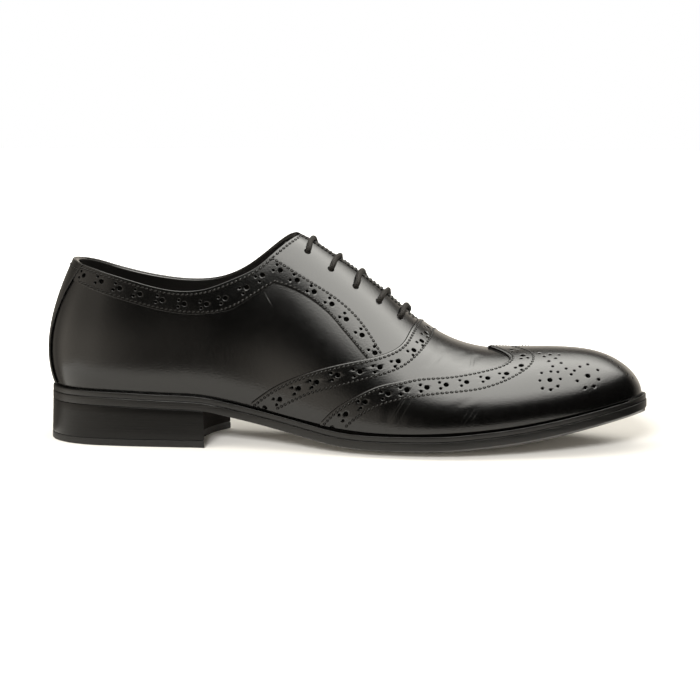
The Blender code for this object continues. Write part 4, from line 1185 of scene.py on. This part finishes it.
# Waxed cotton cord, charcoal: a close round braid whose strands run slantwise both ways. Its dye is painted
# lighter on the strands' crests and darker in the grooves between them: a painted sheen and shade.
cord, tree, shader, _ = start_material("waxed cotton cord", roughness=0.6, specular_ior_level=0.15)
weave_place = add_node(tree, "ShaderNodeUVMap", uv_map="cord").outputs["UV"]
strands = []
for turn in (STRAND_SLANT, -STRAND_SLANT):
    slanted = add_node(
        tree, "ShaderNodeMapping", {"Vector": weave_place, "Rotation": (0, 0, math.radians(turn))},
    )
    strands.append(add_node(
        tree, "ShaderNodeTexWave",
        {"Vector": slanted.outputs["Vector"], "Scale": WAVE_PERIOD / STRAND_PITCH, "Distortion": 0.3},
    ))
braid_relief_and_sheen = add_node(
    tree, "ShaderNodeMath", {0: strands[0].outputs["Fac"], 1: strands[1].outputs["Fac"]},
    operation="MAXIMUM",
).outputs["Value"]
# Painted sheen and shade: the dye is lighter on the strands' crests and darker in the grooves.
dye_and_press(tree, shader, braid_relief_and_sheen, "030303", "24211e", strength=1.0, depth=0.2, span=(0.35, 0.9))

route = lace_route()
chord = run_along(route, ROUTE_POWER)
fine = np.linspace(0, chord[-1], LACE_STEPS)
path = np.stack([spline(chord, part)(fine) for part in route.T], 1)
rings = tube(path, LACE_RADIUS, LACE_SIDES)
first_ring = np.arange(LACE_SIDES)
last_ring = (LACE_STEPS - 1) * LACE_SIDES + first_ring[::-1]
faces = grid_quads(*rings.shape[:2], closed=True).tolist() + [first_ring.tolist(), last_ring.tolist()]
lace = add_piece("lace_cord", rings, faces, cord, outward=True)
lace_run = run_along(path)
corner = np.zeros(len(lace.data.loops), int)
lace.data.loops.foreach_get("vertex_index", corner)
around = (corner % LACE_SIDES) / LACE_SIDES * 2 * np.pi * LACE_RADIUS
uv = np.column_stack([lace_run[corner // LACE_SIDES], around])
lace.data.uv_layers.new(name="cord").data.foreach_set("uv", uv.ravel())
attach(lace, "root")
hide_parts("lace")

# Welt: a strip of oak-bark leather sewn to the upper and the insole, one thickness all round with a
# trimmed edge, inked black. Its top edge is rubbed to a thin lip.
WELT_INSETS = (0.12, 0.45)     # step back from the outsole's side, at the heel and at the forefoot
WELT_WAIST = (0.3, 0.6)        # shares along the shoe between which the step changes
INK_SPAN = (0.3, 0.75)         # span of the streaks' value over which the ink lightens
WELT_LIFT = OUTSOLE_THICK + LAYER_GAP
WELT_ROWS = (                  # the trimmed edge from below: inset and lift
    (0.5, -0.3), (0.12, -0.1), (0.0, 0.2), (0.0, 1.9), (0.05, 2.2), (0.18, 2.4), (0.45, 2.5),
    (1.0, 2.5), (2.2, 2.4),
)


def layer_streaks(tree, place, length, thickness):
    """Streaks along the layers of sole leather: a noise drawn out to a length and a thickness."""
    drawn_out = add_node(
        tree, "ShaderNodeMapping",
        {"Vector": place, "Scale": (per_mm(length), per_mm(length), per_mm(thickness))},
    )
    return add_node(
        tree, "ShaderNodeTexNoise", {"Vector": drawn_out.outputs["Vector"], "Scale": 1.0, "Detail": 4.0},
    ).outputs["Fac"]


# Sole leather with its edge inked and waxed with a hot iron: satin black, with fine streaks along the
# layers of the leather.
edge_leather, tree, shader, place = start_material(
    "inked sole edge", roughness=0.4, ior=1.45, coat_weight=0.1, coat_roughness=0.25,
)
streak = layer_streaks(tree, place, 30.0, 0.7)
dye_and_press(tree, shader, streak, "080808", "181716", strength=0.6, depth=0.12, span=INK_SPAN)
rub = add_node(
    tree, "ShaderNodeMapRange",
    {"Value": streak, "From Min": 0.3, "From Max": 0.7, "To Min": 0.34, "To Max": 0.48},
)
tree.links.new(rub.outputs["Result"], shader.inputs["Roughness"])

welt_inset = np.interp(sole_along, WELT_WAIST, WELT_INSETS)
welt_profile = [(welt_inset + inset, WELT_LIFT + lift) for inset, lift in WELT_ROWS]
welt = add_layer("welt_strip", welt_profile, 24, edge_leather)
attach(welt, "root")
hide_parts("welt")

# Outsole: one thickness of sole leather from heel to toe, sewn to the welt, with its edge trimmed
# square, its corners broken with a file, and the same black ink.
outsole_profile = (
    (0.6, 0.0), (0.2, 0.05), (0.04, 0.2), (0.0, 0.5), (0.0, OUTSOLE_THICK - 0.7),
    (0.1, OUTSOLE_THICK - 0.3), (0.4, OUTSOLE_THICK - 0.05), (0.9, OUTSOLE_THICK),
)
outsole = add_layer("outsole_leather", outsole_profile, 24, edge_leather)
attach(outsole, "root")
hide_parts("outsole")

# Heel: lifts of sole leather stacked, glued and trimmed as one block, with a hollow front, inked and
# waxed like the sole's edge. A rubber top piece is nailed under it.
HEEL_INSET = 0.5
HEEL_BREAST_X = 85.3
HEEL_BREAST_HOLLOW = 7.0
HEEL_CORNER = 12.0           # the breast's own inset fades out over this length behind it
HEEL_STEPS, BREAST_STEPS = 90, 41
TOP_PIECE_THICK = 3.5


def heel_outline(inset):
    """Plan of the heel: its sides follow the sole's edge from breast to breast round the back, and the
    breast is a curve drawn back into the block."""
    along = np.linspace(0, along_at(HEEL_BREAST_X), HEEL_STEPS)
    lateral, medial = (sole_edge(side, along, HEEL_INSET + inset) for side in SIDES)
    across = np.linspace(-1, 1, BREAST_STEPS)[1:-1]
    front = lateral[-1] + (medial[-1] - lateral[-1]) * (across[:, None] + 1) / 2
    front[:, 0] -= HEEL_BREAST_HOLLOW * (1 - across ** 2)
    outline = np.concatenate([lateral[::-1], medial[1:], front[::-1]])
    front_share = np.clip((outline[:, 0] - HEEL_BREAST_X + HEEL_CORNER) / HEEL_CORNER, 0, 1)
    outline[:, 0] -= inset * front_share
    return outline


def heel_stack(foot, profile):
    """Outlines stacked on a foot by the profile's rows of inset, share of the way up, and lift."""
    rows = []
    for inset, share, lift in profile:
        plan = heel_outline(inset)
        seat = tread_edge(plan[:, 0])
        rows.append(np.column_stack([plan, foot + (seat - foot) * share + lift]))
    return np.stack(rows)


def stack_faces(stack):
    """Quads between neighbouring outlines, with the lowest and the highest closed by one face each."""
    rows, count = stack.shape[:2]
    faces = grid_quads(rows, count, closed=True).tolist()
    return faces + [list(range(count)), list(range((rows - 1) * count, rows * count))]


def rough_breast(piece, stack):
    """Gives the quads between the two front corners of a stack the second material."""
    piece.data.materials.append(breast_leather)
    behind = 2 * HEEL_STEPS - 1
    at_front = np.tile(np.arange(stack.shape[1]) >= behind - 1, stack.shape[0] - 1)
    index = np.concatenate([at_front, [False, False]]).astype(np.int32)
    piece.data.polygons.foreach_set("material_index", index)


# Stacked heel leather, inked and polished: as the sole's edge, blacker and with finer streaks.
heel_leather, tree, shader, place = start_material(
    "stacked heel leather", roughness=0.32, ior=1.32, coat_weight=0.08, coat_roughness=0.25,
)
streak = layer_streaks(tree, place, 40.0, 0.55)
dye_and_press(tree, shader, streak, "030303", "0a0908", strength=0.7, depth=0.1, span=INK_SPAN)

# The breast of the heel is cut across the lifts and only dyed: dull, with some brown left in it.
breast_leather, tree, shader, place = start_material(
    "cut heel leather", roughness=0.8, specular_ior_level=0.15,
)
streak = layer_streaks(tree, place, 20.0, 0.9)
dye_and_press(tree, shader, streak, "0a0706", "1f1512", strength=0.7, depth=0.15)

block_profile = (
    (-0.75, 0.0, -0.25), (-0.95, 0.0, 0.05), (-1.0, 0.0, 0.35), (-0.85, 0.25, 0.0), (-0.72, 0.5, 0.0),
    (-0.6, 0.75, 0.0), (-0.5, 1.0, -0.4), (-0.42, 1.0, -0.2), (-0.2, 1.0, -0.05),
)
stack = heel_stack(TOP_PIECE_THICK + LAYER_GAP, block_profile)
heel_block = add_piece("heel_lifts", stack, stack_faces(stack), heel_leather, outward=True)
rough_breast(heel_block, stack)
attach(heel_block, "root")
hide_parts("heel_block")

# Top piece: a lift of moulded black rubber, glued and nailed under the heel and trimmed with it. It is
# the part of the heel that wears, and a new one is nailed on in its place.

# Moulded rubber: matt black, with a dusty edge.
rubber, tree, shader, place = start_material("moulded heel rubber", roughness=0.6, ior=1.5)
dust = add_node(tree, "ShaderNodeTexNoise", {"Vector": place, "Scale": per_mm(2.5), "Detail": 5.0})
dye_and_press(tree, shader, dust.outputs["Fac"], "0e0e0e", "1d1d1d", strength=0.4, depth=0.08)

top_piece_profile = (
    (-0.6, 0.0, 0.0), (-1.0, 0.0, 0.15), (-1.1, 0.0, 0.5), (-1.05, 0.0, TOP_PIECE_THICK - 0.5),
    (-0.95, 0.0, TOP_PIECE_THICK - 0.15), (-0.7, 0.0, TOP_PIECE_THICK),
)
stack = heel_stack(0.0, top_piece_profile)
top_piece = add_piece("rubber_top_piece", stack, stack_faces(stack), rubber, outward=True)
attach(top_piece, "root")
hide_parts("heel_top_piece")

# Studio: a warm white board that glows with painted light of its own, more the further it is from the shoe,
# so that it grows into a white backdrop; one large soft box overhead, and a dim room that is lighter low
# down behind the toe and at the heel's side. A key, whose shadow lies under the toe, and two fills light the
# board alone. The camera stands where the photo was taken from.
FLOOR_SIZE = 9.0
# The part of the board that reflections show, by x and y in metres.
NEAR_BOARD = ((-0.3, -0.145), (0.17, -0.145), (0.17, 0.145), (-0.155, 0.145), (-0.155, 0.0), (-0.3, 0.0))
NEAR_LEVEL, FAR_LEVEL = -0.1, -0.11  # height of both parts in millimetres, just below the shoe
GLOW_SPAN = (0.17, 0.45)       # metres from the shoe over which the board's painted glow grows from none to full
SOFT_BOX_X = (-0.5, 1.0)
SOFT_BOX_NEAR = (-0.54, -0.69, -0.84, -0.99)   # the box fades in steps at its near and far edges
SOFT_BOX_FAR = (0.6, 0.76, 0.95, 1.2)
SOFT_BOX_SPREAD = (-0.45, -0.15, 0.15, 0.45)
SOFT_BOX_HEIGHT, SOFT_BOX_STEP = 1.05, 0.002
SOFT_BOX_RADIANCE = 6.6
SOFT_BOX_TINT = "fffdf6"
# Lights of the boards: width and depth, centre, target, radiance and tint.
BOARD_LIGHTS = {
    "board_key": (0.5, 0.35, (0.0, -2.0, 0.85), (0.0, 0.0, 0.0), 125.0, "ffffff"),
    "board_fill": (3.4, 3.4, (0.0, -0.2, 1.3), (0.0, -0.2, 0.0), 1.35, "fffcf5"),
    "low_fill": (5.0, 0.5, (0.0, -1.8, 0.3), (0.0, 0.0, 0.0), 8.0, "fff7ea"),
}
# The room's glow by direction: an axis, the span of its share, and the glow at both ends of that span.
ROOM_RAMPS = {
    "behind": ("Y", (0.5, 0.97), (0.0, 0.9)),
    "low_down": ("Z", (0.25, 0.6), (1.0, 0.05)),
    "toe_ward": ("X", (-0.3, -0.12), (0.0, 1.0)),
    "heel_ward": ("X", (-0.3, -0.55), (0.0, 0.66)),
    "left_front": ("X", (-0.13, -0.25), (0.0, 1.0)),
    "low_glow": ("Z", (0.32, 0.1), (0.0, 0.4)),
    "in_front": ("Y", (0.4, 0.0), (0.2, 1.0)),
}
DIMMEST = 0.01
BACKDROP_TINT = "fff5e6"
CAMERA_TARGET = (154.2, 0.0, 46.0)
CAMERA_AZIMUTH = math.radians(8.5)
CAMERA_AWAY = 1100.0
CAMERA_HEIGHT = 181.0
CAMERA_LENS, CAMERA_SENSOR = 113.66, 36.0

# White board, matt and faintly mottled: it shows only as a soft pale floor. Away from the shoe it glows with
# painted light, which fills the shadows far out and makes a white backdrop.
board, tree, shader, place = start_material("warm white board", roughness=0.9, ior=1.3)
mottle = add_node(tree, "ShaderNodeTexNoise", {"Vector": place, "Scale": per_mm(60.0), "Detail": 3.0})
dye = add_node(tree, "ShaderNodeValToRGB", {"Fac": mottle.outputs["Fac"]})
dye.color_ramp.elements[0].color = linear("e6e4df")
dye.color_ramp.elements[1].color = linear("e9e7e2")
tree.links.new(dye.outputs["Color"], shader.inputs["Base Color"])
away = add_node(tree, "ShaderNodeVectorMath", {"Vector": place}, operation="LENGTH")
painted_board_glow = add_node(tree, "ShaderNodeValToRGB", {"Fac": away.outputs["Value"]})
painted_board_glow.color_ramp.elements[0].position, painted_board_glow.color_ramp.elements[1].position = GLOW_SPAN
# Painted light: the board's own emission rises from none near the shoe to white past GLOW_SPAN.
tree.links.new(painted_board_glow.outputs["Color"], shader.inputs["Emission Color"])
shader.inputs["Emission Strength"].default_value = 1.0
half = FLOOR_SIZE / 2
far_corners = ((-half, -half), (half, -half), (half, half), (-half, half))
boards = (("near_board", NEAR_BOARD, NEAR_LEVEL), ("far_board", far_corners, FAR_LEVEL))
near_floor, far_floor = (
    add_piece(
        name, np.column_stack([np.array(corners) / MM + (ORIGIN_X, 0), np.full(len(corners), level)]),
        [list(range(len(corners)))], board,
    )
    for name, corners, level in boards
)
far_floor.visible_glossy = False


def add_light(name, width, depth, centre, target, radiance, tint, lights_boards):
    """A flat light of the given radiance: its power is the radiance times pi times its area. It lights
    either the boards alone, and then shows in no reflection, or everything but the boards."""
    data = bpy.data.lights.new(name, "AREA")
    data.shape = "RECTANGLE"
    data.size, data.size_y = width, depth
    data.energy = radiance * math.pi * width * depth
    data.color = linear(tint)[:3]
    light = bpy.data.objects.new(name, data)
    light.location = centre
    light.rotation_euler = (Vector(target) - Vector(centre)).to_track_quat("-Z", "Y").to_euler()
    light.visible_camera = False
    light.visible_glossy = not lights_boards
    bpy.context.scene.collection.objects.link(light)
    lit = bpy.data.collections.new(name + "_lights")
    for board_piece in (near_floor, far_floor):
        lit.objects.link(board_piece)
    for link in lit.collection_objects:
        link.light_linking.link_state = "INCLUDE" if lights_boards else "EXCLUDE"
    light.light_linking.receiver_collection = lit


for k, (near, far, grow) in enumerate(zip(SOFT_BOX_NEAR, SOFT_BOX_FAR, SOFT_BOX_SPREAD)):
    box_centre = (sum(SOFT_BOX_X) / 2, (near + far) / 2)
    add_light(
        f"soft_box_{k}", SOFT_BOX_X[1] - SOFT_BOX_X[0] + grow, far - near,
        (*box_centre, SOFT_BOX_HEIGHT + SOFT_BOX_STEP * k), (*box_centre, 0.0),
        SOFT_BOX_RADIANCE / len(SOFT_BOX_FAR), SOFT_BOX_TINT, False,
    )
for name, light in BOARD_LIGHTS.items():
    add_light(name, *light, True)

world = bpy.data.worlds.new("studio room")
bpy.context.scene.world = world
world.use_nodes = True
tree = world.node_tree
sky = tree.nodes["Background"]
direction = add_node(tree, "ShaderNodeTexCoord").outputs["Generated"]
parts = add_node(tree, "ShaderNodeSeparateXYZ", {"Vector": direction})
ramps = {}
for name, (axis, span, glow) in ROOM_RAMPS.items():
    ramps[name] = add_node(
        tree, "ShaderNodeMapRange",
        {
            "Value": parts.outputs[axis], "From Min": span[0], "From Max": span[1],
            "To Min": glow[0], "To Max": glow[1],
        },
    ).outputs["Result"]
low_backdrop = add_node(
    tree, "ShaderNodeMath", {0: ramps["behind"], 1: ramps["low_down"]}, operation="MULTIPLY",
)
backdrop = add_node(
    tree, "ShaderNodeMath", {0: low_backdrop.outputs["Value"], 1: ramps["toe_ward"], 2: DIMMEST},
    operation="MULTIPLY_ADD",
)
left_glow = add_node(
    tree, "ShaderNodeMath", {0: ramps["left_front"], 1: ramps["low_glow"], 2: ramps["heel_ward"]},
    operation="MULTIPLY_ADD",
)
room = add_node(
    tree, "ShaderNodeMath",
    {0: left_glow.outputs["Value"], 1: ramps["in_front"], 2: backdrop.outputs["Value"]},
    operation="MULTIPLY_ADD",
)
seen = add_node(tree, "ShaderNodeLightPath").outputs["Is Camera Ray"]
glow = add_node(tree, "ShaderNodeMath", {0: room.outputs["Value"], 1: seen}, operation="MAXIMUM")
tint = add_node(
    tree, "ShaderNodeMix",
    {0: seen, 6: linear(BACKDROP_TINT), 7: linear("ffffff")}, data_type="RGBA",
)
tree.links.new(tint.outputs[2], sky.inputs["Color"])
tree.links.new(glow.outputs["Value"], sky.inputs["Strength"])
bpy.context.scene.view_settings.view_transform = "Standard"

camera_data = bpy.data.cameras.new("camera")
camera_data.lens = CAMERA_LENS
camera_data.sensor_width = CAMERA_SENSOR
camera = bpy.data.objects.new("camera", camera_data)
bpy.context.scene.collection.objects.link(camera)
target = Vector(to_frame(CAMERA_TARGET))
camera_place = (
    CAMERA_TARGET[0] + CAMERA_AWAY * math.sin(CAMERA_AZIMUTH), -CAMERA_AWAY * math.cos(CAMERA_AZIMUTH),
    CAMERA_HEIGHT,
)
camera.location = Vector(to_frame(camera_place))
camera.rotation_euler = (target - camera.location).to_track_quat("-Z", "Y").to_euler()
bpy.context.scene.camera = camera
